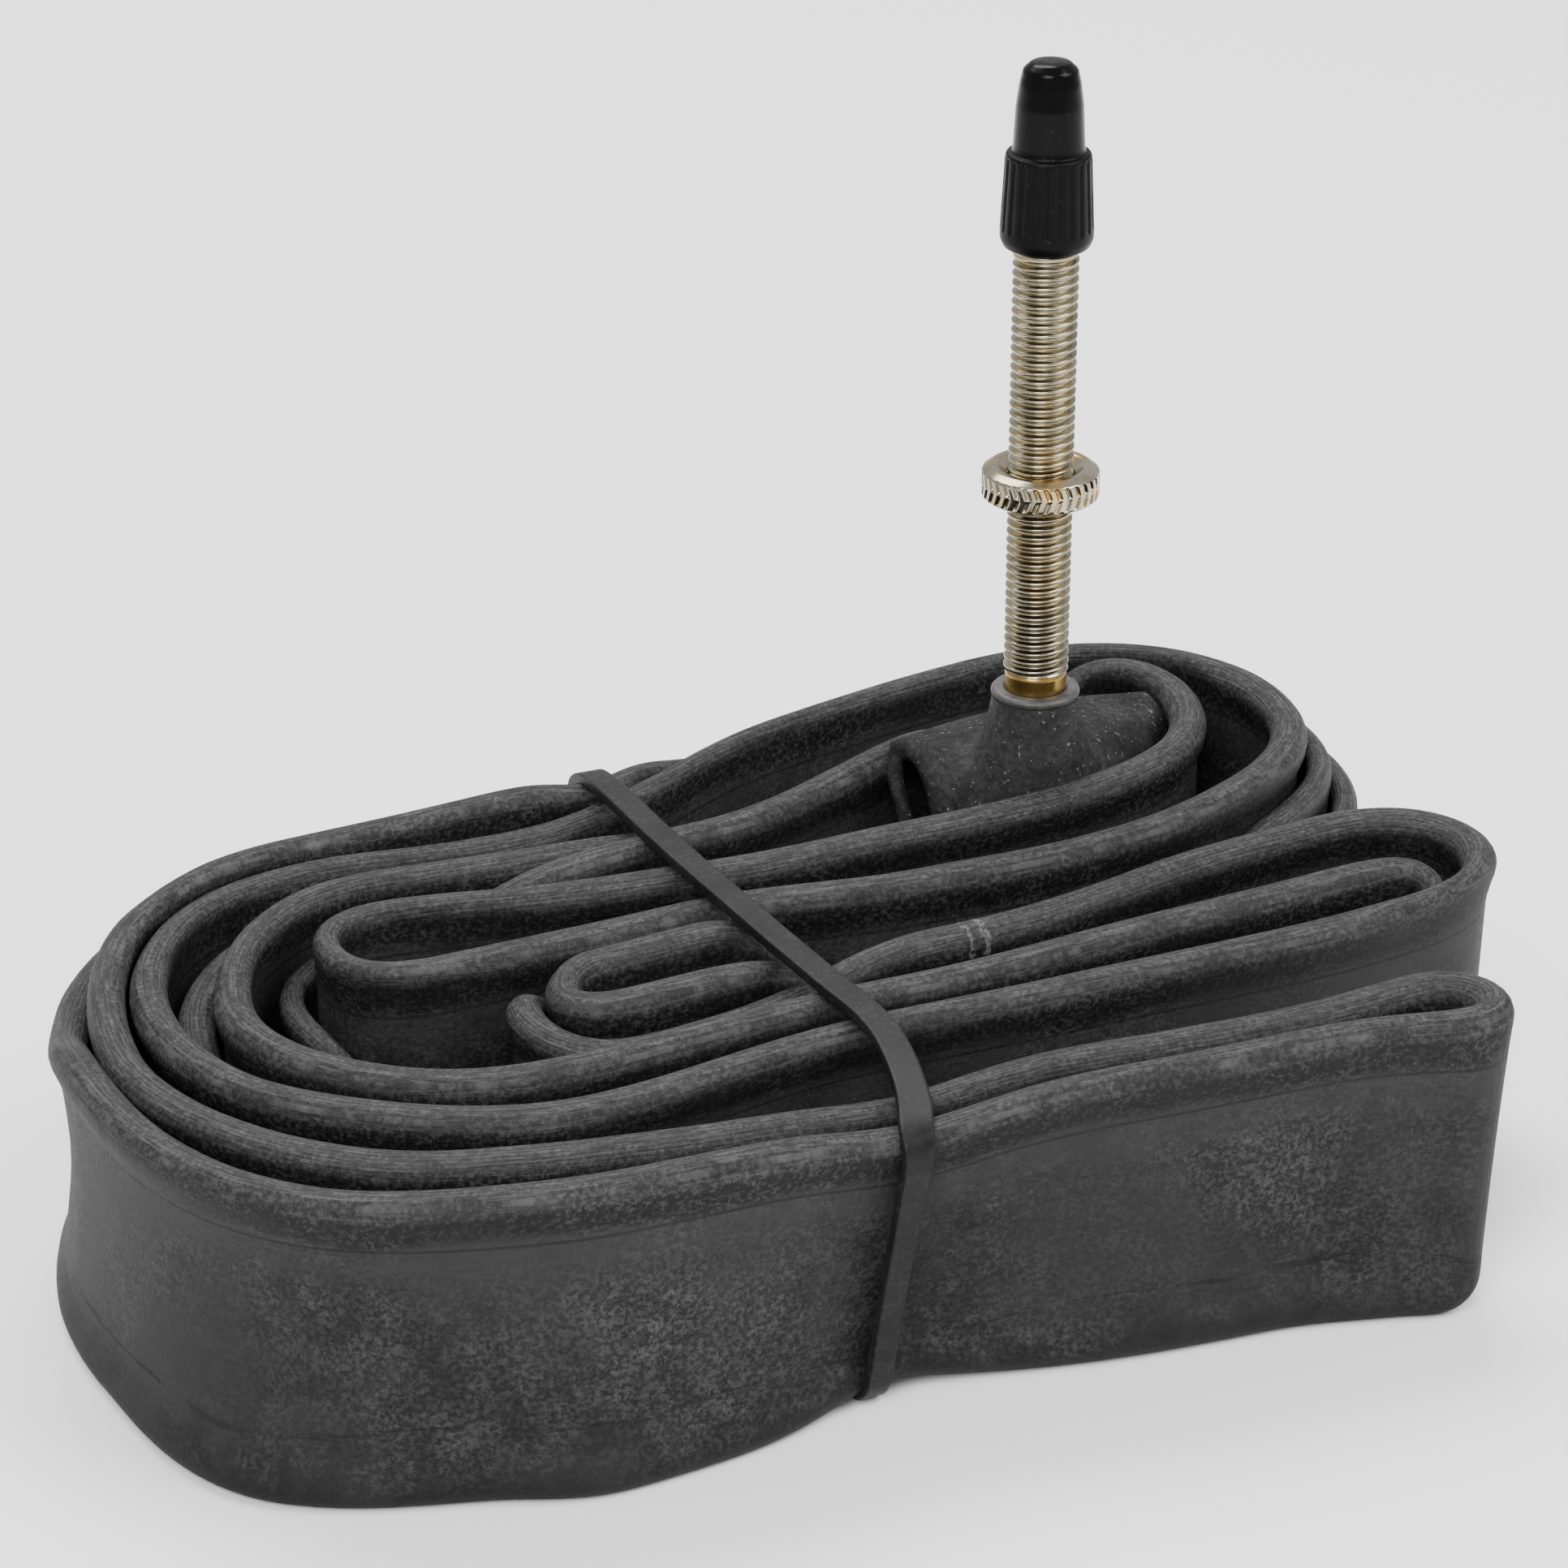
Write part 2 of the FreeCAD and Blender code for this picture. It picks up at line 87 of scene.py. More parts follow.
# The tube's middle line in plan as one closed loop, in runs that share the height of their top edge.
ROUTE = [
    (LOW, [(46, 15.2), (46, 19.4), (38, 19.2), (28, 18.8), (18, 15.9), (8, 12.6)]),
    (MID, [(-2, 9.6)]),
    (27.2, [(-12, 8.6)]),
    (TOP, [(-26, 9), (-37, 10.4), (-42, 10), (-46.5, 7.8), (-50.8, 4.2), (-54.3, -1),
           (-57, -8), (-57, -14), (-54.5, -20), (-49, -25.4), (-43, -28.2),
           (-36, -29.3), (-22, -29.6), (-8, -30.1), (4, -30.5), (16, -30.2), (30, -29.7),
           (42, -29.5), (48.3, -30.4)]),
    (27.0, [(48.9, -34.2)]),
    (23.0, [(43.5, -34.2)]),
    (LOW, [(32, -33.9), (20, -33.9), (8, -33.6), (0, -33), (-8, -32.5), (-16, -32.4),
           (-26, -32.9), (-37, -33.2), (-44.2, -31.6), (-51, -27.8), (-57.2, -21.6)]),
    (MID - 0.8, [(-59.9, -14.2), (-60, -8)]),
    (MID, [(-58.2, -1), (-54.7, 4.8), (-50, 9.3), (-44, 12.2),
           (-37, 13.3), (-24, 12.5), (-12, 11.9)]),
    (LOW, [(-2, 13.4), (8, 16), (18, 19.2), (28, 22), (38, 23.2)]),
    (TOP, [(45.6, 22.6), (49.4, 18.6), (50, 13), (47.5, 6), (42.5, 1), (36, -1.4),
           (27, -2.8), (18, -3.4), (0, -3), (-9, -2), (-25, 0.5), (-33, 3),
           (-38, 4.2), (-42, 4), (-44.8, 1.6), (-45.4, -2), (-44.4, -6),
           (-40.5, -8), (-33, -8.4), (-18, -8.2), (-10, -8.4), (-3, -10.2), (4, -12.4),
           (20, -13.8), (34, -12.6), (46, -8), (52.4, -3.2), (56, 2), (57.6, 10),
           (54.6, 19), (47.6, 25)]),
    (TOP + 0.5, [(38, 26.6), (28, 25.4), (16, 22.6), (5, 20.4)]),
    (TOP - 0.6, [(-5, 17)]),
    (EDGE, [(-14, 15.4), (-24, 16.2)]),
    (TOP - 0.4, [(-38, 16.4), (-46, 15.4), (-51.5, 13.1), (-56, 9.5), (-60, 4)]),
    (TOP, [(-62.4, -2), (-63.3, -8), (-62.8, -15), (-60.8, -21.4), (-56.9, -26.6),
           (-51.5, -31.3), (-45.8, -34.7), (-39.5, -36.8), (-32, -37), (-24, -36.2),
           (-16, -35.4), (-8, -35.2), (0, -35.7), (8, -36.7), (19, -37.7), (34, -37.9),
           (46, -37.1), (51.5, -35), (55, -31), (55.9, -27),
           (54, -22), (48.5, -19.4), (29, -20.9), (20, -22.4), (8, -23.5), (-2, -23.2)]),
    (25.6, [(-13, -25), (-26, -25.2), (-31, -24.5)]),
    (26.6, [(-33.9, -21.6)]),
    (27.2, [(-34.4, -18), (-33.2, -14.4)]),
    (24.5, [(-29.5, -12.6)]),
    (DEEP, [(-22, -12.6), (-15, -13.4), (-6, -14.0), (-6, -16.4)]),
    (TOP, [(-10, -16.2), (-15, -15.9), (-22, -15.8), (-28.2, -15.5), (-31.9, -17.9), (-29, -21.1),
           (-22, -21.3), (-12, -21.3)]),
    (LOW, [(0, -19.8), (8, -19.7), (20, -19.2), (34, -18), (45, -15.2), (54, -9.8),
           (60, -2.8), (62.8, 6), (62, 15), (57, 23.6), (49, 29.4), (38.5, 31.6),
           (28, 30.3), (14, 27.2), (3, 24.4), (-5, 22.4), (-12, 21.4)]),
    (MID, [(-24, 21.9), (-38, 22.2), (-48.5, 21), (-58.4, 16.2), (-65.3, 8.6), (-69.4, 0)]),
    (TOP, [(-71.6, -8), (-72.2, -17), (-71.2, -26), (-68, -34.6), (-62.6, -41.6)]),
    (TOP + 0.7, [(-56, -46.2), (-45, -49.6), (-31, -51.5), (-24, -52.3), (-15, -53.3), (0, -54.3),
                 (20, -55.8), (28, -56.6)]),
    (TOP, [(34.5, -57.6), (38.8, -57.2), (39.9, -53), (36.5, -49.9),
           (25, -50.6), (6, -49.1), (-8, -48.3), (-18, -47.9), (-30, -45.9), (-43.5, -43.1),
           (-55, -38.5), (-62.5, -31), (-67, -22.5), (-68.6, -14), (-67.2, -5), (-64.3, 3.2)]),
    (TOP + 0.6, [(-60, 10), (-52, 16), (-44.5, 18.8), (-36, 19.3), (-24, 19.3),
                 (-14, 19.2), (-6, 19.5)]),
    (MID + 1.3, [(4, 22.4), (15, 25), (28, 27.9)]),
    (MID, [(38.3, 29), (48.2, 27.2), (55.9, 21.2), (59.7, 12.5), (59.8, 4), (57, -2.6),
           (50.6, -8.4), (43, -12.2)]),
    (LOW, [(34, -15.2), (20, -16.8), (5, -15.8), (-3, -12.9), (-9, -10.8)]),
    (DEEP, [(-24, -10.7), (-36, -10.9), (-44, -10.5)]),
    (22.5, [(-47.7, -7.2), (-48.7, -2), (-47.7, 3), (-44.6, 6.4)]),
    (MID, [(-38, 7.1), (-31, 5.2)]),
    (TOP, [(-24, 4.2), (-12, 4.6), (-3, 5.4), (4, 7.6), (11, 10.6), (18, 13.4), (26, 15.4)]),
    (LOW, [(33, 16.3), (40, 15.6)]),
]

# How far the foot of the front wall lies behind its top edge, along the coil from left to right.
FRONT_LEAN = [(-72, 0.6), (-66, 2.8), (-57, 1.5), (-45, -1.4), (-31, 0.8), (-15, 3.0), (0, 2.0),
              (20, 1.2), (28, -0.8), (36, -2.2)]

# The valve's stretch lies over the gap like a saddle. Each row runs from the back edge over
# the crest and down the front, and the first row is the open left mouth.
SADDLE = [
    [(18.4, 12.8, 27.4), (18.9, 9.0, 28.4), (19.7, 4.6, 26.8), (20.2, 2.0, 22.4), (20.4, 1.3, 16.0)],
    [(22.0, 14.3, 27.0), (22.0, 8.8, 28.1), (22.0, 3.4, 27.1), (22.0, 0.9, 22.4), (22.0, 0.5, 15.6)],
    [(28.0, 15.2, 27.0), (28.0, 9.4, 28.3), (28.0, 3.4, 27.7), (28.0, 0.6, 23.4), (28.0, 0.3, 16.8)],
    [(35.0, 15.0, 27.2), (35.0, 9.8, 28.0), (35.0, 4.6, 27.2), (35.0, 1.6, 23.4), (35.0, 1.2, 16.6)],
    [(40.5, 14.6, 26.9), (40.5, 10.8, 27.0), (40.5, 7.0, 26.2), (40.5, 4.6, 22.4), (40.5, 4.0, 15.6)],
    [(44.4, 14.6, 26.4), (44.4, 12.0, 26.1), (44.4, 9.4, 25.2), (44.4, 7.4, 21.6), (44.4, 6.8, 15.4)],
    [(47.4, 14.8, 26.0), (47.4, 13.4, 25.6), (47.4, 12.0, 24.6), (47.4, 11.0, 21.0), (47.4, 10.6, 15.2)],
]
SADDLE_HALF = 0.95
BOSS_FOOT_Z = 28.9       # where the boss's cone meets the saddle's crest
SPLICE = (7.0, -23.6)    # place in the route of the scuffed butt joint
FRONT_TIP = (39.6, -55.4)  # right-hand end of the front fold
EYE_FOLD = (-43.4, -2.2)  # the loosely folded end beside the coil's open eye
STEM_PITCH = 0.88        # the body thread's pitch as it measures in the photograph


# ---------------------------------------------------------------- curve helpers
def unit(vector):
    return vector / np.linalg.norm(vector, axis=-1, keepdims=True)


def rounded_loop(corners, spacing=0.3):
    """Closed line through tangent arcs that round off each corner."""
    points = []
    count = len(corners)
    for k in range(count):
        before, corner, after = corners[k - 1], corners[k], corners[(k + 1) % count]
        to_before, to_after = unit(before - corner), unit(after - corner)
        room = 0.49 * min(np.linalg.norm(before - corner), np.linalg.norm(after - corner))
        start, end = corner + to_before * room, corner + to_after * room
        turn = max(4, int(2 * room / spacing))
        for t in np.linspace(0, 1, turn):
            points.append((1 - t) ** 2 * start + 2 * t * (1 - t) * corner + t * t * end)
    return np.array(points)


def resample_loop(points, step):
    """Evenly spaced points on a closed line, and their distance along it."""
    closed = np.vstack([points, points[:1]])
    length = np.concatenate([[0], np.cumsum(np.linalg.norm(np.diff(closed, axis=0), axis=1))])
    count = int(length[-1] / step)
    along = np.arange(count) * length[-1] / count
    even = np.stack([np.interp(along, length, closed[:, axis]) for axis in range(closed.shape[1])], 1)
    return even, along, length


def smooth_loop(values, window):
    """Moving average round a closed list."""
    kernel = np.hanning(window + 2)[1:-1]
    kernel /= kernel.sum()
    half = window // 2
    wrapped = np.concatenate([values[-half:], values, values[:half]])
    return np.convolve(wrapped, kernel, "same")[half:-half] if half else values


def waves(along, periods, amplitude, seed):
    """Gentle uneven waves, a few sines of unrelated length."""
    rng = np.random.default_rng(seed)
    total = along[-1]
    result = np.zeros_like(along)
    for period in periods:
        turns = max(1, round(total / period))
        result += np.sin(2 * math.pi * turns * along / total + rng.uniform(0, 2 * math.pi))
    return amplitude * result / len(periods)


def catmull(points, per_span):
    """Smooth open curve through points, along the first axis."""
    points = np.asarray(points, float)
    padded = np.concatenate([2 * points[:1] - points[1:2], points, 2 * points[-1:] - points[-2:-1]])
    result = []
    for k in range(1, len(padded) - 2):
        p0, p1, p2, p3 = padded[k - 1:k + 3]
        for t in np.arange(per_span) / per_span:
            result.append(0.5 * (2 * p1 + (p2 - p0) * t + (2 * p0 - 5 * p1 + 4 * p2 - p3) * t ** 2
                                 + (3 * p1 - p0 - 3 * p2 + p3) * t ** 3))
    result.append(points[-1])
    return np.array(result)


def gentle(value, knots, reach=12.0, spacing=0.5):
    """Reads a few (place, amount) knots as one gentle curve."""
    places, amounts = np.array(knots, float).T
    dense = np.arange(places[0] - 2 * reach, places[-1] + 2 * reach, spacing)
    kernel = np.hanning(int(reach / spacing))
    curve = np.convolve(np.interp(dense, places, amounts), kernel / kernel.sum(), "same")
    return np.interp(value, dense[len(kernel):-len(kernel)], curve[len(kernel):-len(kernel)])


def smoothstep(value):
    value = np.clip(value, 0, 1)
    return value * value * (3 - 2 * value)


# ---------------------------------------------------------------- mesh helpers
def mesh_object(name, vertices, faces, material, flow=None):
    """A smooth mesh piece from millimetre vertices in the frame. flow is kept for the material."""
    mesh = bpy.data.meshes.new(name)
    mesh.from_pydata([tuple(v) for v in np.asarray(vertices) * MM], [], [tuple(f) for f in faces])
    mesh.validate()
    if flow is not None:
        attribute = mesh.attributes.new("flow", "FLOAT_VECTOR", "POINT")
        attribute.data.foreach_set("vector", np.asarray(flow, np.float32).ravel())
    mesh.polygons.foreach_set("use_smooth", [True] * len(mesh.polygons))
    mesh.materials.append(material)
    obj = bpy.data.objects.new(name, mesh)
    bpy.context.scene.collection.objects.link(obj)
    return obj


def grid_faces(rows, columns, wrap_rows=False, wrap_columns=False, offset=0, flip=False):
    faces = []
    for i in range(rows if wrap_rows else rows - 1):
        for j in range(columns if wrap_columns else columns - 1):
            a = offset + i * columns + j
            b = offset + i * columns + (j + 1) % columns
            c = offset + (i + 1) % rows * columns + (j + 1) % columns
            d = offset + (i + 1) % rows * columns + j
            faces.append((a, d, c, b) if flip else (a, b, c, d))
    return faces


def sweep(path, radius, sides=16):
    """Vertices of a tube round an open path."""
    tangent = unit(np.gradient(path, axis=0))
    normal = np.cross(tangent, (0.0, 0.0, 1.0))
    normal = unit(normal)
    other = np.cross(normal, tangent)
    angle = np.linspace(0, 2 * math.pi, sides, endpoint=False)
    ring = np.cos(angle)[None, :, None] * normal[:, None, :]
    ring = ring + np.sin(angle)[None, :, None] * other[:, None, :]
    return path[:, None, :] + ring * np.asarray(radius).reshape(-1, 1, 1)


def turned_piece(name, profile, material, sides=128, radius_change=None, wrap=False):
    """A turned part round the valve's axis. radius_change(r, z, angle) alters the radius."""
    profile = np.asarray(profile, float)
    angle = np.linspace(0, 2 * math.pi, sides, endpoint=False)
    r = np.repeat(profile[:, :1], sides, 1)
    z = np.repeat(profile[:, 1:], sides, 1)
    if radius_change is not None:
        r = radius_change(r, z, angle[None, :])
    vertices = np.stack([VALVE[0] + r * np.cos(angle), VALVE[1] + r * np.sin(angle), z], 2)
    faces = grid_faces(len(profile), sides, wrap_rows=wrap, wrap_columns=True)
    return mesh_object(name, vertices.reshape(-1, 3), faces, material)


def fine_profile(corners, spacing=0.15, bevel=0.12):
    """A turned outline with its corners eased and its flats divided."""
    corners = np.asarray(corners, float)
    points = [corners[0]]
    for before, corner, after in zip(corners, corners[1:], corners[2:]):
        room_a = min(bevel, 0.45 * np.linalg.norm(corner - before))
        room_b = min(bevel, 0.45 * np.linalg.norm(after - corner))
        start, end = corner + unit(before - corner) * room_a, corner + unit(after - corner) * room_b
        for t in (0.0, 0.25, 0.5, 0.75, 1.0):
            points.append((1 - t) ** 2 * start + 2 * t * (1 - t) * corner + t * t * end)
    points.append(corners[-1])
    dense = [points[0]]
    for a, b in zip(points, points[1:]):
        pieces = max(1, int(np.linalg.norm(b - a) / spacing))
        for k in range(1, pieces + 1):
            dense.append(a + (b - a) * k / pieces)
    return np.array(dense)


# ---------------------------------------------------------------- materials
class Shader:
    """Short calls for building a node material."""

    def __init__(self, name):
        self.material = bpy.data.materials.new(name)
        self.material.use_nodes = True
        self.tree = self.material.node_tree
        self.surface = self.tree.nodes["Principled BSDF"]

    def node(self, kind, inputs=None, **settings):
        node = self.tree.nodes.new(kind)
        for key, value in settings.items():
            setattr(node, key, value)
        for key, value in (inputs or {}).items():
            self.put(node.inputs[key], value)
        return node

    def put(self, socket, value):
        if isinstance(value, bpy.types.NodeSocket):
            self.tree.links.new(value, socket)
        else:
            socket.default_value = value

    def set(self, **values):
        for key, value in values.items():
            self.put(self.surface.inputs[key.replace("_", " ")], value)

    def noise(self, vector, scale, detail=3.0, roughness=0.55):
        return self.node("ShaderNodeTexNoise", {"Vector": vector, "Scale": scale, "Detail": detail,
                                                "Roughness": roughness}).outputs["Fac"]

    def ramp(self, value, low, high):
        return self.node("ShaderNodeMapRange", {"Value": value, "From Min": low, "From Max": high,
                                                "To Min": 0.0, "To Max": 1.0}).outputs["Result"]

    def math(self, operation, a, b=0.0):
        return self.node("ShaderNodeMath", {0: a, 1: b}, operation=operation).outputs[0]

    def mix(self, factor, a, b):
        node = self.node("ShaderNodeMix", data_type="RGBA")
        self.put(node.inputs["Factor"], factor)
        self.put(node.inputs["A"], a)
        self.put(node.inputs["B"], b)
        return node.outputs["Result"]

    def bump(self, height, strength, distance):
        inputs = {"Height": height, "Strength": strength, "Distance": distance}
        return self.node("ShaderNodeBump", inputs).outputs["Normal"]


def grey(value, warm=0.0):
    return (value * (1 + warm), value, value * (1 - warm), 1.0)


def tube_rubber(splice_at):
    """Butyl rubber with the bloom of talc it is packed in; its edge folds are painted lighter, partly talc
    and partly painted highlight where their tops face the light.
    """
    s = Shader("tube_rubber")
    place = s.node("ShaderNodeTexCoord").outputs["Object"]
    flow = s.node("ShaderNodeAttribute", attribute_name="flow").outputs["Vector"]
    parts = s.node("ShaderNodeSeparateXYZ", {0: flow})
    along, across, depth_at = parts.outputs[0], parts.outputs[1], parts.outputs[2]
    wander = s.math("MULTIPLY", s.math("SUBTRACT", s.noise(place, 70.0, 3.0, 0.6), 0.5), 3.2)
    depth = s.math("ADD", depth_at, wander)
    lines_at = drawn_out(s, along, across, 0.02, 0.0)
    smear_at = drawn_out(s, along, across, 0.16, 3.0)
    streak_at = drawn_out(s, along, across, 0.07, 7.0)
    grain = s.ramp(s.noise(place, 3600.0, 3.0, 0.7), 0.38, 0.62)
    speckle = s.ramp(s.noise(place, 2150.0, 4.0, 0.7), 0.44, 0.60)
    blotch = s.ramp(s.noise(place, 260.0, 4.0, 0.65), 0.40, 0.62)
    cloud = s.ramp(s.noise(place, 42.0, 2.0), 0.36, 0.64)
    lines = s.ramp(s.noise(lines_at, 5.5, 3.0, 0.7), 0.54, 0.64)
    smear = s.ramp(s.noise(smear_at, 1.3, 3.0, 0.65), 0.38, 0.66)
    streak = s.ramp(s.noise(streak_at, 4.5, 3.0, 0.7), 0.52, 0.64)
    # talc lies in specks on the walls, thickly in places and hardly at all in others
    cover = s.math("ADD", 0.20, s.math("MULTIPLY", s.math("ADD", blotch, cloud), 0.46))
    specks = s.math("ADD", s.math("MULTIPLY", speckle, 0.7), s.math("MULTIPLY", grain, 0.3))
    specks = s.math("MULTIPLY", specks, cover)
    wall = s.mix(specks, grey(0.0045), grey(0.063))
    # broad darker patches at random, and painted shade darkening the foot where the tube meets the floor
    patches = s.ramp(s.noise(place, 64.0, 3.0, 0.6), 0.44, 0.60)
    wall = s.mix(s.math("MULTIPLY", patches, 0.6), wall, grey(0.019))
    height_at = s.node("ShaderNodeSeparateXYZ", {0: place}).outputs[2]
    foot = s.ramp(s.math("ADD", height_at, s.math("MULTIPLY", blotch, 0.0015)), 0.0052, 0.0016)
    wall = s.mix(s.math("MULTIPLY", foot, 0.65), wall, grey(0.006))
    calm = s.math("MULTIPLY", s.ramp(depth, 3.8, 4.8), s.ramp(depth, 9.5, 6.5))
    calm = s.math("MULTIPLY", calm, s.math("ADD", 0.35, s.math("MULTIPLY", smear, 0.35)))
    wall = s.mix(calm, wall, grey(0.027))
    # painted shade: a darker speckled band on the underside of the fold's roll, just below its top
    fold_underside_shade = s.math("MULTIPLY", s.ramp(depth, 1.0, 1.8), s.ramp(depth, 4.6, 3.4))
    fold_underside_shade = s.math("MULTIPLY", fold_underside_shade, s.math("SUBTRACT", 0.95, s.math("MULTIPLY", speckle, 0.75)))
    wall = s.mix(fold_underside_shade, wall, grey(0.0065))
    # a few long creases low on the walls, with painted shade darkening their grooves
    crease_at = s.math("ADD", across, s.math("MULTIPLY", s.noise(smear_at, 0.35, 2.0), 5.0))
    crease = s.math("ABSOLUTE", s.math("SUBTRACT", crease_at, 23.5))
    crease = s.math("MULTIPLY", s.ramp(crease, 0.5, 0.1), s.ramp(smear, 0.35, 0.7))
    wall = s.mix(s.math("MULTIPLY", crease, 0.6), wall, grey(0.006))
    # the mould leaves one thin line below each fold
    seam = s.math("ABSOLUTE", s.math("SUBTRACT", depth_at, 4.9))
    wall = s.mix(s.math("MULTIPLY", s.ramp(seam, 0.2, 0.08), 0.55), wall, grey(0.005))
    # the edge folds are painted lighter: partly talc, partly painted highlight where their tops face the
    # light, with pale lengthwise streaks
    talc_and_highlight = s.math("MULTIPLY", s.math("ADD", 0.35, s.math("MULTIPLY", smear, 0.65)),
                 s.math("ADD", 0.25, s.math("MULTIPLY", speckle, 0.75)))
    edge = s.mix(talc_and_highlight, grey(0.007), grey(0.070))
    edge = s.mix(s.math("MULTIPLY", streak, 0.45), edge, grey(0.090))
    edge = s.mix(s.math("MULTIPLY", lines, 0.45), edge, grey(0.085))
    # fine ridges along the fold, with painted shade darkening their grooves
    ridges = s.ramp(s.math("SINE", s.math("MULTIPLY", across, 10.5)), 0.45, 0.95)
    ridges = s.math("MULTIPLY", ridges, s.math("ADD", 0.25, s.math("MULTIPLY", smear, 0.75)))
    edge = s.mix(s.math("MULTIPLY", ridges, 0.55), edge, grey(0.009))
    fold = s.ramp(s.math("ADD", depth_at, s.math("MULTIPLY", wander, 0.3)), 1.9, 0.7)
    colour = s.mix(fold, wall, edge)
    # two pale scuffs across the fold where the tube's ends are joined
    scuffs = s.math("MULTIPLY", splice_mark(s, along, place, splice_at), s.ramp(depth_at, 4.2, 2.4))
    colour = s.mix(s.math("MULTIPLY", scuffs, 0.7), colour, grey(0.13))
    s.set(Base_Color=colour, Specular_IOR_Level=0.13)
    s.set(Roughness=s.math("ADD", 0.50, s.math("MULTIPLY", specks, 0.35)))
    height = s.math("ADD", s.math("MULTIPLY", speckle, 0.4), s.math("MULTIPLY", lines, 0.4))
    height = s.math("SUBTRACT", height, s.math("MULTIPLY", s.math("MULTIPLY", ridges, fold), 0.9))
    height = s.math("ADD", height, s.math("MULTIPLY", scuffs, 0.8))
    height = s.math("SUBTRACT", height, s.math("MULTIPLY", crease, 1.5))
    s.set(Normal=s.bump(height, 0.5, 0.00014))
    return s.material


def drawn_out(s, along, across, stretch, offset):
    """Noise place that runs slowly along the tube; offset keeps two such patterns apart."""
    slow = s.math("MULTIPLY", along, stretch)
    return s.node("ShaderNodeCombineXYZ", {0: slow, 1: across, 2: offset}).outputs[0]


def splice_mark(s, along, place, splice_at):
    """Mask of the two ragged scuffs at the tube's butt joint."""
    ragged = s.math("MULTIPLY", s.math("SUBTRACT", s.noise(place, 900.0, 3.0, 0.7), 0.5), 1.6)
    run = s.math("SUBTRACT", s.math("ADD", along, ragged), splice_at)
    first = s.ramp(s.math("ABSOLUTE", run), 0.42, 0.16)
    second = s.ramp(s.math("ABSOLUTE", s.math("SUBTRACT", run, 1.5)), 0.30, 0.10)
    broken = s.ramp(s.noise(place, 1700.0, 2.0), 0.40, 0.52)
    return s.math("MULTIPLY", s.math("MAXIMUM", first, second), broken)


def moulded_rubber():
    """Smoother moulded rubber round the valve, with stray specks of talc."""
    s = Shader("moulded_rubber")
    place = s.node("ShaderNodeTexCoord").outputs["Object"]
    cloud = s.ramp(s.noise(place, 260.0, 4.0, 0.62), 0.36, 0.66)
    grain = s.ramp(s.noise(place, 1500.0, 3.0, 0.7), 0.40, 0.62)
    specks = s.ramp(s.noise(place, 2300.0, 2.0, 0.6), 0.66, 0.72)
    parts = s.node("ShaderNodeSeparateXYZ", {0: place})
    level = s.node("ShaderNodeCombineXYZ", {0: parts.outputs[0], 1: parts.outputs[1], 2: 0.0}).outputs[0]
    away = s.node("ShaderNodeVectorMath", {0: level, 1: (VALVE[0] * MM, VALVE[1] * MM, 0.0)},
                  operation="DISTANCE").outputs["Value"]
    on_boss = s.ramp(s.math("ADD", away, s.math("MULTIPLY", cloud, 0.0012)), 0.0076, 0.0048)
    drift = s.ramp(s.noise(place, 150.0, 4.0, 0.6), 0.42, 0.66)
    mottle = s.math("MULTIPLY", s.math("ADD", cloud, grain), 0.5)
    sheet = s.mix(mottle, grey(0.004), grey(0.014))
    drift = s.math("MULTIPLY", drift, s.math("ADD", 0.2, s.math("MULTIPLY", grain, 0.5)))
    sheet = s.mix(drift, sheet, grey(0.045))
    colour = s.mix(on_boss, sheet, s.mix(mottle, grey(0.015), grey(0.042)))
    colour = s.mix(s.math("MULTIPLY", specks, 0.75), colour, grey(0.19))
    s.set(Base_Color=colour, Specular_IOR_Level=0.13)
    matt = s.math("SUBTRACT", 0.62, s.math("MULTIPLY", on_boss, 0.26))
    s.set(Roughness=s.math("ADD", matt, s.math("MULTIPLY", cloud, 0.18)))
    s.set(Normal=s.bump(grain, 0.3, 0.0001))
    return s.material


def band_rubber():
    s = Shader("band_rubber")
    place = s.node("ShaderNodeTexCoord").outputs["Object"]
    cloud = s.ramp(s.noise(place, 160.0, 3.0), 0.35, 0.68)
    grain = s.noise(place, 3000.0, 3.0, 0.7)
    worn = s.math("MULTIPLY", s.ramp(s.noise(place, 1900.0, 4.0, 0.7), 0.50, 0.62), s.math("ADD", 0.2, cloud))
    colour = s.mix(cloud, grey(0.007), grey(0.013))
    s.set(Base_Color=s.mix(s.math("MULTIPLY", worn, 0.5), colour, grey(0.032)), Specular_IOR_Level=0.13)
    s.set(Roughness=s.math("ADD", 0.42, s.math("MULTIPLY", cloud, 0.16)))
    s.set(Normal=s.bump(grain, 0.15, 0.00008))
    return s.material


def plated_metal(name, bright, dark, roughness, golden=0.0):
    """Nickel over brass: warm silver, a little gold where the plating is thin."""
    s = Shader(name)
    place = s.node("ShaderNodeTexCoord").outputs["Object"]
    cloud = s.ramp(s.noise(place, 420.0, 3.0), 0.35, 0.65)
    fine = s.noise(place, 4200.0, 2.0)
    colour = s.mix(cloud, bright, dark)
    if golden:
        thin = s.math("MULTIPLY", s.ramp(s.noise(place, 300.0, 2.0), 0.5, 0.62), golden)
        colour = s.mix(thin, colour, (0.60, 0.37, 0.10, 1.0))
    s.set(Base_Color=colour, Metallic=1.0)
    s.set(Roughness=s.math("ADD", roughness, s.math("MULTIPLY", cloud, 0.1)))
    s.set(Normal=s.bump(fine, 0.06, 0.00003))
    return s.material


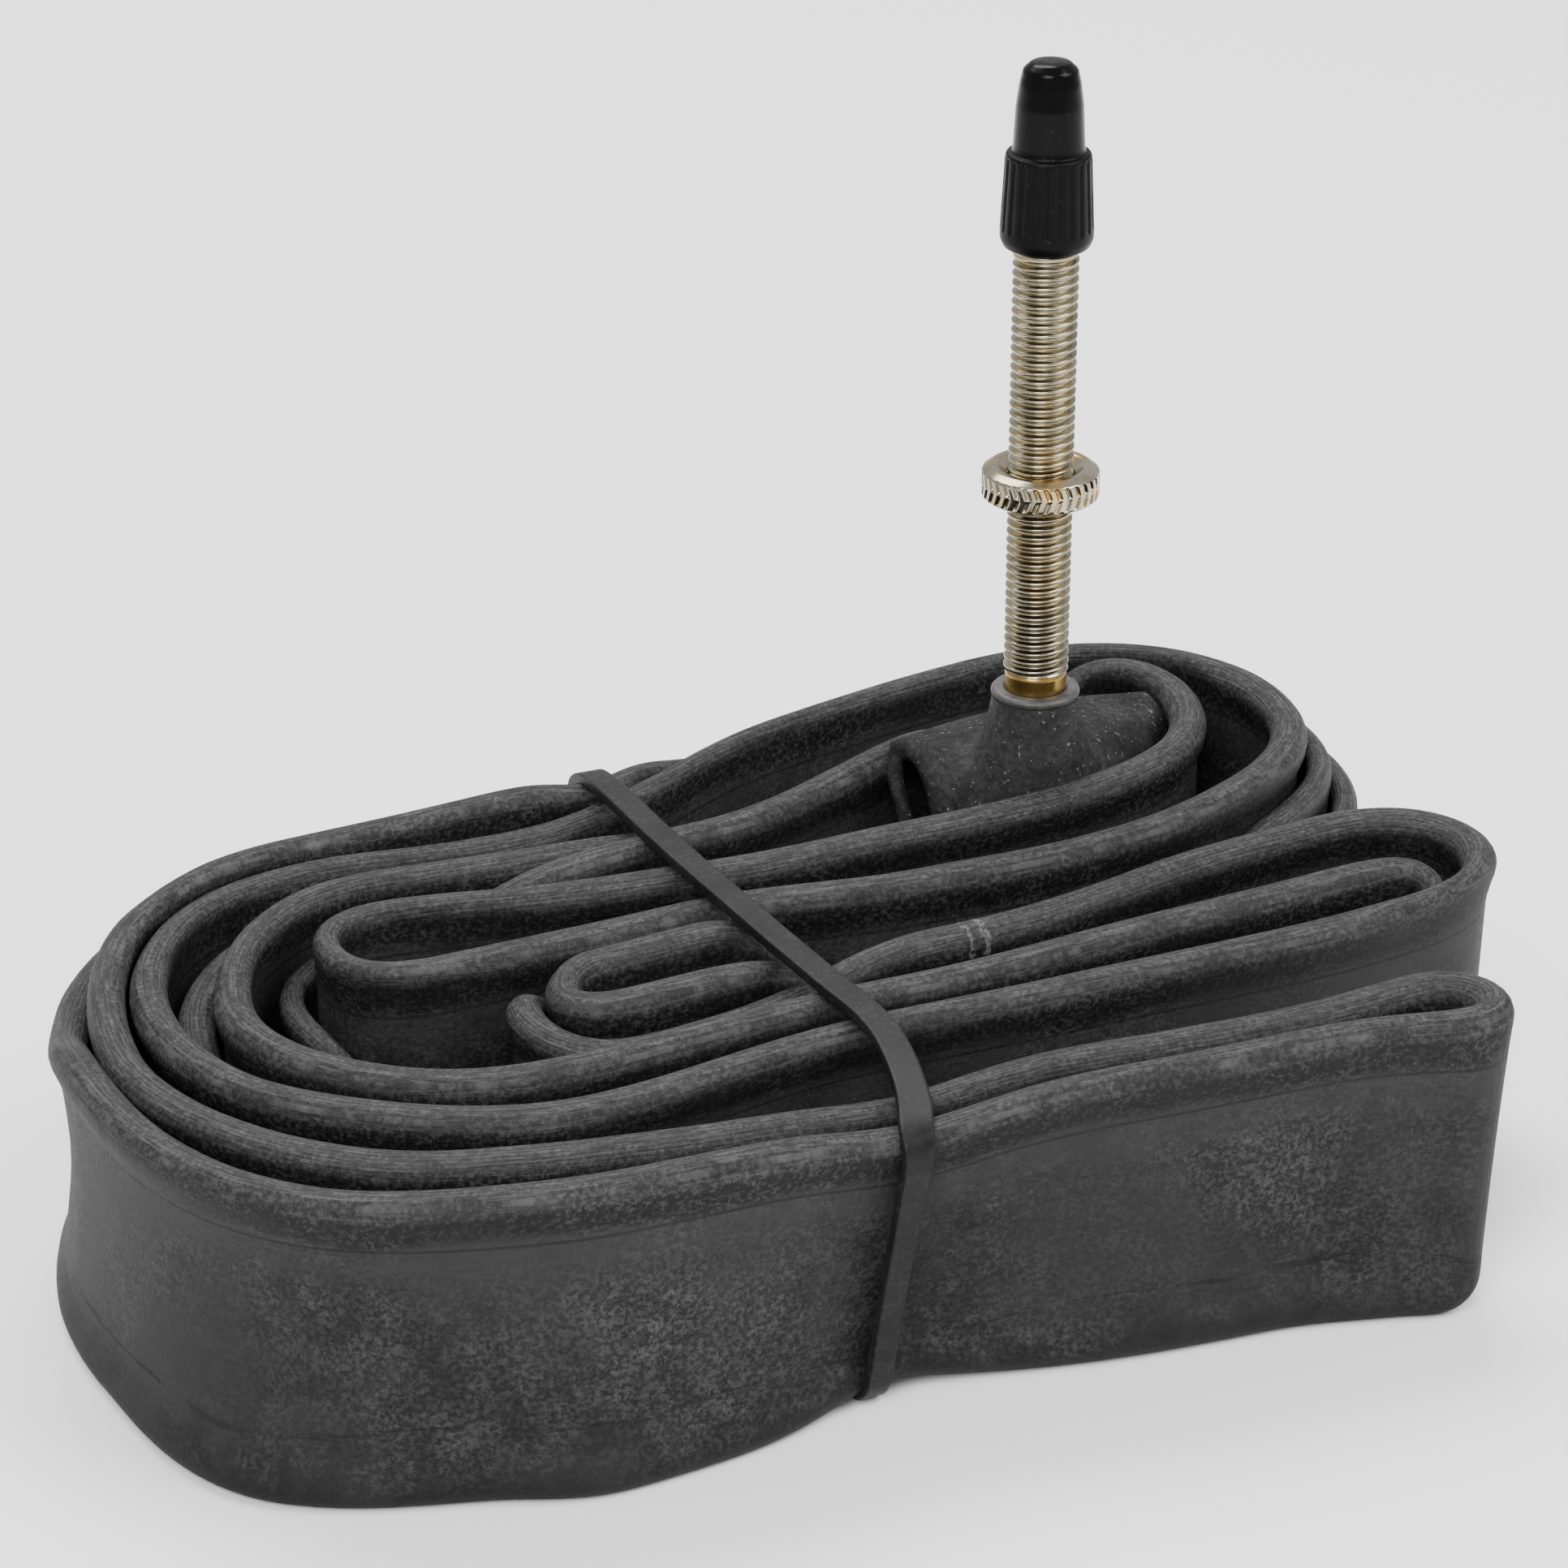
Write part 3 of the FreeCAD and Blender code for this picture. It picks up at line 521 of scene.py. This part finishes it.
def black_plastic():
    s = Shader("black_plastic")
    place = s.node("ShaderNodeTexCoord").outputs["Object"]
    cloud = s.ramp(s.noise(place, 500.0, 3.0), 0.35, 0.7)
    dust = s.ramp(s.noise(place, 1800.0, 2.0), 0.68, 0.74)
    s.set(Base_Color=s.mix(s.math("MULTIPLY", dust, 0.5), grey(0.0014), grey(0.03)), Specular_IOR_Level=0.10)
    level = s.node("ShaderNodeSeparateXYZ", {0: place}).outputs[2]
    worn = s.ramp(level, (CAP_LOW[2] + 9.2) * MM, (CAP_LOW[2] + 8.6) * MM)
    rough = s.math("ADD", 0.14, s.math("MULTIPLY", cloud, 0.12))
    s.set(Roughness=s.math("ADD", rough, s.math("MULTIPLY", worn, 0.24)))
    s.set(Normal=s.bump(s.noise(place, 1500.0, 2.0), 0.08, 0.00008))
    return s.material


def lip_rubber():
    s = Shader("lip_rubber")
    place = s.node("ShaderNodeTexCoord").outputs["Object"]
    cloud = s.ramp(s.noise(place, 900.0, 3.0), 0.35, 0.7)
    s.set(Base_Color=s.mix(cloud, grey(0.026, 0.03), grey(0.062, 0.04)), Roughness=0.5)
    s.set(Normal=s.bump(cloud, 0.1, 0.00005))
    return s.material


# ---------------------------------------------------------------- the folded tube
def band_line_x(y):
    """x of the band where it crosses the coil at y."""
    plan = np.array(BAND_PLAN)
    return np.interp(y, plan[:, 1], plan[:, 0])


def settle(points):
    """Pull the front in under the band, waist the left end and taper the right, as soft rubber lies."""
    points = points.copy()
    x, y, z = points[..., 0], points[..., 1], points[..., 2]
    height = np.clip(z / 28, 0, 1)
    grip = np.exp(-((x + 15.5) / np.where(x < -15.5, 10, 16)) ** 2)
    slope = gentle(x, FRONT_LEAN) * (1 - height)
    points[..., 1] += smoothstep((-28 - y) / 26) * (slope + grip * (1.9 + 1.2 * (1 - height)))
    end = smoothstep((-50 - x) / 18)
    out = unit(np.stack([x + 50, y + 15], -1) + 1e-6)
    flare = 0.8 + 2.4 * smoothstep((-18 - y) / 20)
    reach = end * (flare * (1 - height) ** 2 - 0.9 * np.sin(math.pi * height) ** 2)
    points[..., 0] += out[..., 0] * reach
    points[..., 1] += out[..., 1] * reach
    taper = 1.0 * smoothstep((-12 - y) / 12) + 2.8 * smoothstep((-44 - y) / 8)
    points[..., 0] -= taper * smoothstep((x - 28) / 14) * (1 - height)
    return points


def distance_from(place, plan):
    return np.linalg.norm(plan - np.array(place), axis=1)


def tube_rings():
    """Plan route, tops, bottoms, rear-wall lean and distance along the tube at each ring."""
    corners = []
    tops = []
    for top, points in ROUTE:
        for point in points:
            corners.append(point)
            tops.append(top)
    corners = np.array(corners, float)
    line = rounded_loop(np.column_stack([corners, tops]))
    even, along, _ = resample_loop(line, STEP)
    plan, top = even[:, :2], even[:, 2]
    for _ in range(2):
        plan = np.stack([smooth_loop(plan[:, axis], 5) for axis in range(2)], 1)
    top = smooth_loop(top, 17) + waves(along, (97, 61, 38), 0.35, 3)
    away = plan[:, 0] - band_line_x(plan[:, 1])
    squeeze = np.exp(-(away / 9) ** 2)
    front = smoothstep((-34 - plan[:, 1]) / 19)
    back = smoothstep((plan[:, 1] - 15) / 3) * np.exp(-(away / 5) ** 2)
    top = np.minimum(top, TOP + 0.8) + squeeze * (0.2 - 2.2 * front)
    top -= back * np.maximum(0, top - 27.6)
    bottom = 0.9 * np.exp(-(away / 7) ** 2) + 1.5 * np.exp(-(distance_from(FRONT_TIP, plan) / 4) ** 2)
    # the short fold beside the eye leans back a little at its rear wall
    behind = np.exp(-((plan[:, 1] + 15.9) / 1.2) ** 2) * smoothstep((-8 - plan[:, 0]) / 4)
    lean = 2.7 * behind * (plan[:, 0] > -29) * (plan[:, 0] < -8) * (top > 21)
    return plan, top, bottom, smooth_loop(lean, 11), along


def limits(plan, top, along):
    """How thick the folds and the web may be at each ring where strands lie close together."""
    total = along[-1]
    bead_top = np.full(len(plan), BEAD_R)
    bead_low = np.full(len(plan), BEAD_R)
    web = np.full(len(plan), WEB_HALF)
    for i in range(len(plan)):
        distance = np.linalg.norm(plan - plan[i], axis=1)
        apart = np.abs(along - along[i])
        apart = np.minimum(apart, total - apart)
        near = (distance < 5.5) & (apart > np.maximum(6.0, 1.4 * distance))
        if not near.any():
            continue
        d = distance[near]
        rise = top[near] - top[i]
        bead_low[i] = min(bead_low[i], d.min() / 2 - GAP)
        web[i] = min(web[i], d.min() / 2 - GAP)
        level = d[np.abs(rise) < 3.6]
        if len(level):
            bead_top[i] = min(bead_top[i], level.min() / 2 - GAP)
        above = d[rise >= 3.6]
        if len(above):
            bead_top[i] = min(bead_top[i], above.min() - WEB_HALF - GAP)
    clean = []
    for values in (bead_top, bead_low, web):
        padded = np.concatenate([values[-4:], values, values[:4]])
        least = np.min([padded[k:k + len(values)] for k in range(9)], axis=0)
        clean.append(np.maximum(smooth_loop(least, 9), 0.7))
    return clean


def width_samples():
    """Where a ring has points: 0..1 in the low fold, then its neck, the web, and the same above."""
    fold = [1 - math.cos(math.radians(a)) for a in range(0, 91, 15)]
    neck = [0.25, 0.5, 0.75, 1.0]
    web = [0.15, 0.32, 0.5, 0.68, 0.85]
    return fold, neck, web


def build_tube(rings_of_tube, material):
    plan, top, bottom, lean, along = rings_of_tube
    bead_top, bead_low, web = limits(plan, top, along)
    bead_top = bead_top * (1 - 0.34 * np.exp(-(distance_from(EYE_FOLD, plan) / 11) ** 4))
    full = np.exp(-(distance_from(FRONT_TIP, plan) / 6.5) ** 4)
    web = web + (0.95 * np.minimum(bead_top, bead_low) - web) * full
    tangent = unit(np.roll(plan, -1, 0) - np.roll(plan, 1, 0))
    side = np.stack([-tangent[:, 1], tangent[:, 0]], 1)
    puff = waves(along, (53, 29), 0.08, 7)
    fold, neck, middle = width_samples()
    heights = []
    halves = []
    low_web = bottom + bead_low + BEAD_BLEND
    high_web = top - bead_top - BEAD_BLEND
    for f in fold:
        heights.append(bottom + bead_low * f)
        halves.append(bead_low * math.sqrt(max(0.0, 1 - (1 - f) ** 2)))
    for n in neck:
        heights.append(bottom + bead_low + BEAD_BLEND * n)
        halves.append(bead_low + (web - bead_low) * smoothstep(n))
    for m in middle:
        heights.append(low_web + (high_web - low_web) * m)
        halves.append(np.minimum(web + puff * math.sin(math.pi * m), np.maximum(web, bead_low)))
    for n in neck[::-1]:
        heights.append(top - bead_top - BEAD_BLEND * n)
        halves.append(bead_top + (web - bead_top) * smoothstep(n))
    for f in fold[::-1]:
        heights.append(top - bead_top * f)
        halves.append(bead_top * math.sqrt(max(0.0, 1 - (1 - f) ** 2)))
    heights = np.array(heights)
    halves = np.array(halves)
    last = len(heights) - 1
    order = list(range(last + 1)) + list(range(last - 1, 0, -1))
    signs = [1.0] * (last + 1) + [-1.0] * (last - 1)
    rings = []
    flow = []
    for k, sign in zip(order, signs):
        z = heights[k]
        xy = plan + side * (halves[k] * sign)[:, None]
        xy[:, 1] += lean * smoothstep((z - 16) / 11)
        rings.append(settle(np.column_stack([xy, z])))
        from_top = top - z
        across = from_top + sign * halves[k] * 1.3
        flow.append(np.column_stack([along, across, from_top]))
    vertices = np.stack(rings, 1)
    vertices[..., :2] += SHIFT
    flow = np.stack(flow, 1)
    faces = grid_faces(len(plan), len(order), True, True)
    piece = mesh_object("folded_tube", vertices.reshape(-1, 3), faces, material, flow.reshape(-1, 3))
    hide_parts("inner_tube")
    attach(piece, "tube_body")


# ---------------------------------------------------------------- the valve's saddle and boss
def saddle_surface():
    """Fine grid of the saddle's middle surface, in the route's coordinates."""
    rows = catmull(np.array(SADDLE, float), 16)
    return np.transpose(catmull(np.transpose(rows, (1, 0, 2)), 12), (1, 0, 2))


def surface_normals(grid):
    normal = np.cross(np.gradient(grid, axis=0), np.gradient(grid, axis=1))
    normal = unit(normal)
    return normal if normal[len(grid) // 2, grid.shape[1] // 3, 2] > 0 else -normal


def at_grid(grid, u, v):
    """Bilinear point of a grid at fractional row u and column v."""
    u = np.clip(u, 0, grid.shape[0] - 1.001)
    v = np.clip(v, 0, grid.shape[1] - 1.001)
    i, j = u.astype(int), v.astype(int)
    a, b = (u - i)[..., None], (v - j)[..., None]
    return ((1 - a) * (1 - b) * grid[i, j] + a * (1 - b) * grid[i + 1, j]
            + (1 - a) * b * grid[i, j + 1] + a * b * grid[i + 1, j + 1])


def sheet_shell(grid, half):
    """Closed shell of a thick sheet with rounded rims."""
    normal = surface_normals(grid)
    rows, columns = grid.shape[:2]
    upper = grid + normal * half
    lower = grid - normal * half
    ring = []
    ring += [(i, 0) for i in range(rows)]
    ring += [(rows - 1, j) for j in range(1, columns)]
    ring += [(i, columns - 1) for i in range(rows - 2, -1, -1)]
    ring += [(0, j) for j in range(columns - 2, 0, -1)]
    rim = []
    for i, j in ring:
        inward = grid[min(max(i, 1), rows - 2), min(max(j, 1), columns - 2)] - grid[i, j]
        rim.append(grid[i, j] - unit(inward) * half * 0.9)
    vertices = np.concatenate([upper.reshape(-1, 3), lower.reshape(-1, 3), np.array(rim)])
    count = rows * columns
    faces = grid_faces(rows, columns) + grid_faces(rows, columns, offset=count, flip=True)
    for k, (i, j) in enumerate(ring):
        n = (k + 1) % len(ring)
        i2, j2 = ring[n]
        a, b = i * columns + j, i2 * columns + j2
        faces.append((a, b, 2 * count + n, 2 * count + k))
        faces.append((2 * count + k, 2 * count + n, count + b, count + a))
    return vertices, faces


def boss_surface(grid):
    """Polar sheet: a waisted cone at the valve that melts into the saddle."""
    normal = surface_normals(grid)
    upper = grid + normal * (SADDLE_HALF + 0.02)
    row_x = grid[:, grid.shape[1] // 2, 0]
    cross = grid[np.argmin(np.abs(row_x - ROUTE_VALVE[0]))]
    arc = np.concatenate([[0], np.cumsum(np.linalg.norm(np.diff(cross, axis=0), axis=1))])
    crest = np.interp(-ROUTE_VALVE[1], -cross[:, 1], arc)
    radii = np.concatenate([np.linspace(4.0, 5.2, 22), np.linspace(5.3, 7.0, 12), np.linspace(7.2, 10.5, 14)])
    angle = np.linspace(0, 2 * math.pi, 128, endpoint=False)
    rows = []
    for r in radii:
        x = ROUTE_VALVE[0] + r * np.cos(angle)
        reach = crest - r * np.sin(angle)
        u = np.interp(x, row_x, np.arange(len(row_x)))
        v = np.interp(reach, arc, np.arange(len(arc)))
        draped = at_grid(upper, u, v)
        t = (r - 4.0) / 6.5
        rise = (SEAT_Z - 0.9 - BOSS_FOOT_Z) * (1 - t) ** 7
        cone = np.column_stack([x, ROUTE_VALVE[1] + r * np.sin(angle), np.full_like(x, BOSS_FOOT_Z + rise)])
        melt = smoothstep((r - 4.3) / 2.9)
        lift = np.zeros_like(draped)
        lift[:, 2] = rise * (1 - melt * 0.3)
        rows.append(cone * (1 - melt) + (draped + lift) * melt)
    grid_out = np.array(rows)
    grid_out[-1] -= at_grid(normal, u, v) * 0.12
    return grid_out


def build_valve_patch(material, lip_material):
    grid = saddle_surface()
    vertices, faces = sheet_shell(grid, SADDLE_HALF)
    boss = boss_surface(grid)
    base = len(vertices)
    vertices = np.concatenate([vertices, boss.reshape(-1, 3)])
    faces = faces + grid_faces(boss.shape[0], boss.shape[1], False, True, base)
    mouth_path = catmull([(18.6, 6.0, 10.0), (18.3, 7.4, 16.0), (17.9, 8.9, 21.5), (17.6, 10.7, 25.6),
                          (18.2, 11.5, 27.9), (19.0, 10.2, 28.7), (19.6, 7.5, 28.1), (19.8, 5.0, 26.0),
                          (19.8, 3.5, 22.4), (20.0, 2.8, 17.0)], 8)
    thick = smoothstep((np.arange(len(mouth_path)) / len(mouth_path) - 0.42) / 0.4)
    rim = sweep(mouth_path, 0.8 + 1.1 * thick)
    base = len(vertices)
    vertices = np.concatenate([vertices, rim.reshape(-1, 3)])
    faces = faces + grid_faces(rim.shape[0], rim.shape[1], False, True, base)
    crease_path = catmull([(20.6, 11.5, 28.3), (21.2, 8.4, 28.3), (22.0, 4.4, 27.2), (22.4, 1.9, 24.2),
                           (22.7, 0.7, 20.0), (22.8, 0.5, 15.8)], 8)
    ridge = sweep(crease_path, 0.35 + 0.5 * smoothstep(np.arange(len(crease_path)) / 14))
    base = len(vertices)
    vertices = np.concatenate([vertices, ridge.reshape(-1, 3)])
    faces = faces + grid_faces(ridge.shape[0], ridge.shape[1], False, True, base)
    vertices[:, :2] += SHIFT
    piece = mesh_object("valve_saddle", vertices, faces, material)
    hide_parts("valve_patch")
    lip_outline = [(3.4, SEAT_Z - 1.6), (3.95, SEAT_Z - 1.3), (3.95, SEAT_Z - 0.8), (4.12, SEAT_Z - 0.65),
                   (4.12, SEAT_Z - 0.25), (3.85, SEAT_Z), (3.0, SEAT_Z + 0.05), (2.8, SEAT_Z - 0.1)]
    lip = turned_piece("boss_lip", fine_profile(lip_outline, 0.1, 0.15), lip_material, 96)
    for each in (piece, lip):
        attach(each, "tube_body")


# ---------------------------------------------------------------- rubber band
def build_band(material):
    """Flat band: down the front wall, under the coil, up the back and straight across the top."""
    corners = [(-53.3, 24.0), (-51.3, 12.0), (-50.1, 2.2), (-48.7, 0.7), (-30, 0.7), (0, 0.7),
               (21.9, 0.7), (23.1, 2.0), (22.9, 10.0), (22.9, 19.0), (22.9, 24.0), (22.4, 26.6),
               (20.3, 28.0), (15.5, 28.8), (8.0, 29.1), (-4, 29.2), (-20, 29.3), (-34, 29.2),
               (-39.5, 28.9), (-44.0, 28.5), (-48.0, 27.9), (-51.3, 27.3), (-53.3, 26.2)]
    line, along, _ = resample_loop(rounded_loop(np.array(corners, float), 0.25), 0.35)
    y, z = line[:, 0], line[:, 1]
    tangent = unit(np.roll(line, -1, 0) - np.roll(line, 1, 0))
    out_y, out_z = -tangent[:, 1], tangent[:, 0]
    # down the front wall the band slants a little to the left, and it comes back under the coil
    falling = (y < -49) & (z < 27)
    lean = np.where(falling, -16.0 - 2.0 * (1 - z / 26) - band_line_x(y), 0.0)
    lean += np.where((z < 3) & ~falling, -4.2 * smoothstep((-26 - y) / 22), 0.0)
    centre_x = smooth_loop(band_line_x(y) + lean, 15)
    half = BAND_HALF_WIDTH * (1 - 0.1 * np.where(falling, smoothstep((24 - z) / 14), 0.0))
    thick = BAND_THICK / 2
    quarter = [(0.90, thick), (0.96, thick * 0.94), (0.99, thick * 0.80), (1.0, thick * 0.60)]
    right = [(0.0, thick), (0.45, thick), (0.8, thick)] + quarter
    right += [(a, -b) for a, b in right[::-1]]
    section = right + [(-a, b) for a, b in right[-2:0:-1]]
    plan = np.stack([centre_x, y], 1)
    run = unit(np.roll(plan, -1, 0) - np.roll(plan, 1, 0) + 1e-9)
    flat = np.abs(tangent[:, 0])
    across_y = -smooth_loop(run[:, 0] * np.sign(run[:, 1]) * flat, 9)
    rings = []
    for across, outwards in section:
        ring_y = y + across * half * across_y + out_y * outwards
        rings.append(np.column_stack([centre_x + across * half, ring_y, z + out_z * outwards]))
    vertices = np.stack(rings, 1).reshape(-1, 3)
    vertices[:, :2] += SHIFT
    piece = mesh_object("holding_band", vertices, grid_faces(len(line), len(section), True, True), material)
    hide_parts("rubber_band")
    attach(piece, "tube_body")


# ---------------------------------------------------------------- valve metal and cap
def thread_depth(z, angle, pitch, depth, low, high):
    """Depth of a right-hand thread's groove, fading out at both ends."""
    phase = ((z / pitch - angle / (2 * math.pi)) % 1.0)
    groove = smoothstep(np.abs(phase - 0.5) * 2 * 1.35 - 0.12)
    fade = smoothstep((z - low) / pitch) * smoothstep((high - z) / pitch)
    return depth * (1 - groove) * fade


def build_stem(material, neck_material):
    top = STEM_HIGH[2]
    shoulder = top - 6.5
    crest, tip = 3.0, 2.6
    neck_top = SEAT_Z + 1.9
    rows = np.arange(neck_top, shoulder - 0.3, 0.07)
    profile = [(2.72, SEAT_Z - 2.5), (2.72, neck_top - 0.5), (2.72, neck_top - 0.1)]
    profile += [(crest, z) for z in rows]
    profile += [(crest, shoulder - 0.25), (crest - 0.2, shoulder), (tip, shoulder)]
    profile += [(tip, z) for z in np.arange(shoulder + 0.1, top - 0.35, 0.07)]
    profile += [(tip - 0.05, top - 0.3), (tip - 0.3, top), (2.0, top), (2.0, top - 6)]

    def threaded(r, z, angle):
        body = r >= crest - 1e-6
        pump = (np.abs(r - tip) < 1e-6) & (z > shoulder)
        cut = np.where(body, thread_depth(z, angle, STEM_PITCH, 0.48, neck_top - 0.2, shoulder - 0.1), 0.0)
        cut += np.where(pump, thread_depth(z, angle, 24 * 0.0443, 0.32, shoulder + 0.3, top - 0.2), 0.0)
        return r - cut

    stem = turned_piece("threaded_stem", profile, material, 96, threaded)
    neck_outline = [(2.74, SEAT_Z - 2.0), (2.86, SEAT_Z - 1.0), (2.86, neck_top - 0.35),
                    (2.7, neck_top - 0.05)]
    neck = turned_piece("stem_neck", fine_profile(neck_outline), neck_material, 96)
    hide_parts("valve_stem")
    for piece in (stem, neck):
        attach(piece, "tube_body")


def build_lockring(material):
    """Round nut: eased faces, countersunk bore and two bands of opposed slanting teeth."""
    low, high = RING_LOW[2], RING_HIGH[2]
    outer = (RING_HIGH[0] - RING_LOW[0]) / 2
    bore = 3.05
    teeth = 34
    outline = [(bore, low + 0.8), (bore + 0.75, low), (outer - 0.8, low), (outer - 0.15, low + 0.4),
               (outer, low + 0.55), (outer, high - 0.55), (outer - 0.15, high - 0.4), (outer - 0.8, high),
               (bore + 0.95, high), (bore, high - 0.9)]
    profile = fine_profile(outline, 0.08, 0.16)
    middle = (low + high) / 2

    def knurled(r, z, angle):
        inside = smoothstep((r - (outer - 0.3)) / 0.2)
        height = (z - middle) / 1.1
        slant = np.where(height > 0, 1.0, -1.0) * height * 0.075
        phase = ((angle + slant) * teeth / (2 * math.pi)) % 1.0
        notch = smoothstep(1 - np.abs(phase - 0.5) * 3.4)
        line = 1 - 0.85 * np.exp(-(height / 0.13) ** 2)
        fade = smoothstep((1.12 - np.abs(height)) / 0.2)
        return r - 0.3 * notch * line * fade * inside

    ring = turned_piece("knurled_lockring", profile, material, teeth * 14, knurled, wrap=True)
    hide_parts("lockring")
    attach(ring, "lockring")


def build_cap(material):
    """Dust cap: chamfered foot, plain band, fluted skirt, ledge and a tapering nose."""
    low, high = CAP_LOW[2], CAP_HIGH[2]
    ledge = low + 8.6
    outside = [(2.66, low + 0.4), (3.0, low), (3.85, low), (4.16, low + 0.7), (4.2, low + 1.0),
               (4.2, low + 1.5), (3.86, ledge - 0.35), (3.7, ledge), (3.32, ledge), (3.22, ledge + 0.5),
               (3.02, ledge + 4.2), (2.75, high - 2.0), (2.45, high - 0.75), (1.75, high - 0.12),
               (0.9, high), (0.02, high)]
    flutes = 22

    def fluted(r, z, angle):
        phase = (angle * flutes / (2 * math.pi)) % 1.0
        groove = smoothstep(1 - np.abs(phase - 0.5) * 3.2)
        fade = smoothstep((z - low - 1.5) / 0.5) * smoothstep((ledge - 0.25 - z) / 0.3)
        skirt = smoothstep((r - 3.4) / 0.15)
        return r - 0.17 * groove * fade * skirt

    shell = fine_profile(outside, 0.12, 0.22)
    inside = fine_profile([(0.02, high - 1.0), (1.3, high - 1.2), (2.1, high - 3.0), (2.15, low + 10.8),
                           (2.66, low + 9.2), (2.66, low + 0.4)], 0.5, 0.1)
    profile = np.vstack([shell, inside])
    cap = turned_piece("cap_shell", profile, material, flutes * 12, fluted)
    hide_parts("dust_cap")
    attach(cap, "dust_cap")


def dress_core(metal, rubber):
    """The core's parts keep their CAD shapes and take turned-metal and rubber finishes."""
    finishes = {"core_body": metal, "core_pin": metal, "core_locknut": metal, "core_seal_cup": metal,
                "core_gasket": rubber, "core_seal": rubber}
    for node, material in finishes.items():
        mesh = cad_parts[node].data
        mesh.materials.clear()
        mesh.materials.append(material)


# ---------------------------------------------------------------- floor, light and camera
def build_stage():
    material = bpy.data.materials.new("pale_floor")
    material.use_nodes = True
    surface = material.node_tree.nodes["Principled BSDF"]
    surface.inputs["Base Color"].default_value = (0.86, 0.86, 0.86, 1)
    surface.inputs["Roughness"].default_value = 0.9
    size = 4.0
    mesh = bpy.data.meshes.new("floor")
    floor_z = CAD_BOX[0][2]
    corners = [(-size, -size, floor_z), (size, -size, floor_z), (size, size, floor_z), (-size, size, floor_z)]
    mesh.from_pydata(corners, [], [(0, 1, 2, 3)])
    mesh.materials.append(material)
    floor = bpy.data.objects.new("floor", mesh)
    bpy.context.scene.collection.objects.link(floor)


def soft_light(name, place, size, power):
    light = bpy.data.lights.new(name, "AREA")
    light.shape = "RECTANGLE"
    light.size, light.size_y = size
    light.energy = power
    obj = bpy.data.objects.new(name, light)
    obj.location = place
    aim = Vector((0, 0, 0.03)) - Vector(place)
    obj.rotation_euler = aim.to_track_quat("-Z", "Y").to_euler()
    bpy.context.scene.collection.objects.link(obj)


def build_lights():
    world = bpy.data.worlds.new("studio")
    world.use_nodes = True
    world.node_tree.nodes["Background"].inputs["Color"].default_value = (1, 1, 1, 1)
    world.node_tree.nodes["Background"].inputs["Strength"].default_value = 0.75
    bpy.context.scene.world = world
    soft_light("key_left", (-0.46, -0.52, 0.66), (0.5, 0.5), 9.5)
    soft_light("key_right", (0.52, -0.46, 0.72), (0.5, 0.5), 8)
    soft_light("top_back", (0.05, 0.50, 0.85), (0.7, 0.5), 13)


def build_camera():
    """The photograph's view: from the front left, a little above, with a long lens."""
    azimuth, elevation, distance = math.radians(-28), math.radians(27), 0.450
    back = Vector((math.sin(azimuth) * math.cos(elevation), -math.cos(azimuth) * math.cos(elevation),
                   math.sin(elevation)))
    target = Vector((SHIFT[0] * MM, SHIFT[1] * MM, 0.014))
    camera = bpy.data.cameras.new("camera")
    camera.sensor_width = 36
    camera.lens = 36 * 13.4 * distance / MM / 1932
    camera.shift_y = (1200 - 966) / 1932
    camera.clip_start = 0.01
    obj = bpy.data.objects.new("camera", camera)
    obj.location = target + back * distance
    obj.rotation_euler = (-back).to_track_quat("-Z", "Y").to_euler()
    bpy.context.scene.collection.objects.link(obj)
    bpy.context.scene.camera = obj


def main():
    nickel = plated_metal("nickel_plate", (0.40, 0.365, 0.27, 1), (0.24, 0.215, 0.15, 1), 0.15, 0.15)
    nut_metal = plated_metal("nut_plate", (0.45, 0.41, 0.31, 1), (0.27, 0.235, 0.16, 1), 0.13, 0.55)
    brass = plated_metal("raw_brass", (0.40, 0.26, 0.08, 1), (0.26, 0.16, 0.05, 1), 0.24)
    rings_of_tube = tube_rings()
    plan, along = rings_of_tube[0], rings_of_tube[-1]
    splice_at = float(along[np.argmin(np.linalg.norm(plan - np.array(SPLICE), axis=1))])
    build_tube(rings_of_tube, tube_rubber(splice_at))
    build_valve_patch(moulded_rubber(), lip_rubber())
    build_band(band_rubber())
    build_stem(nickel, brass)
    build_lockring(nut_metal)
    build_cap(black_plastic())
    dress_core(brass, lip_rubber())
    build_stage()
    build_lights()
    build_camera()


main()
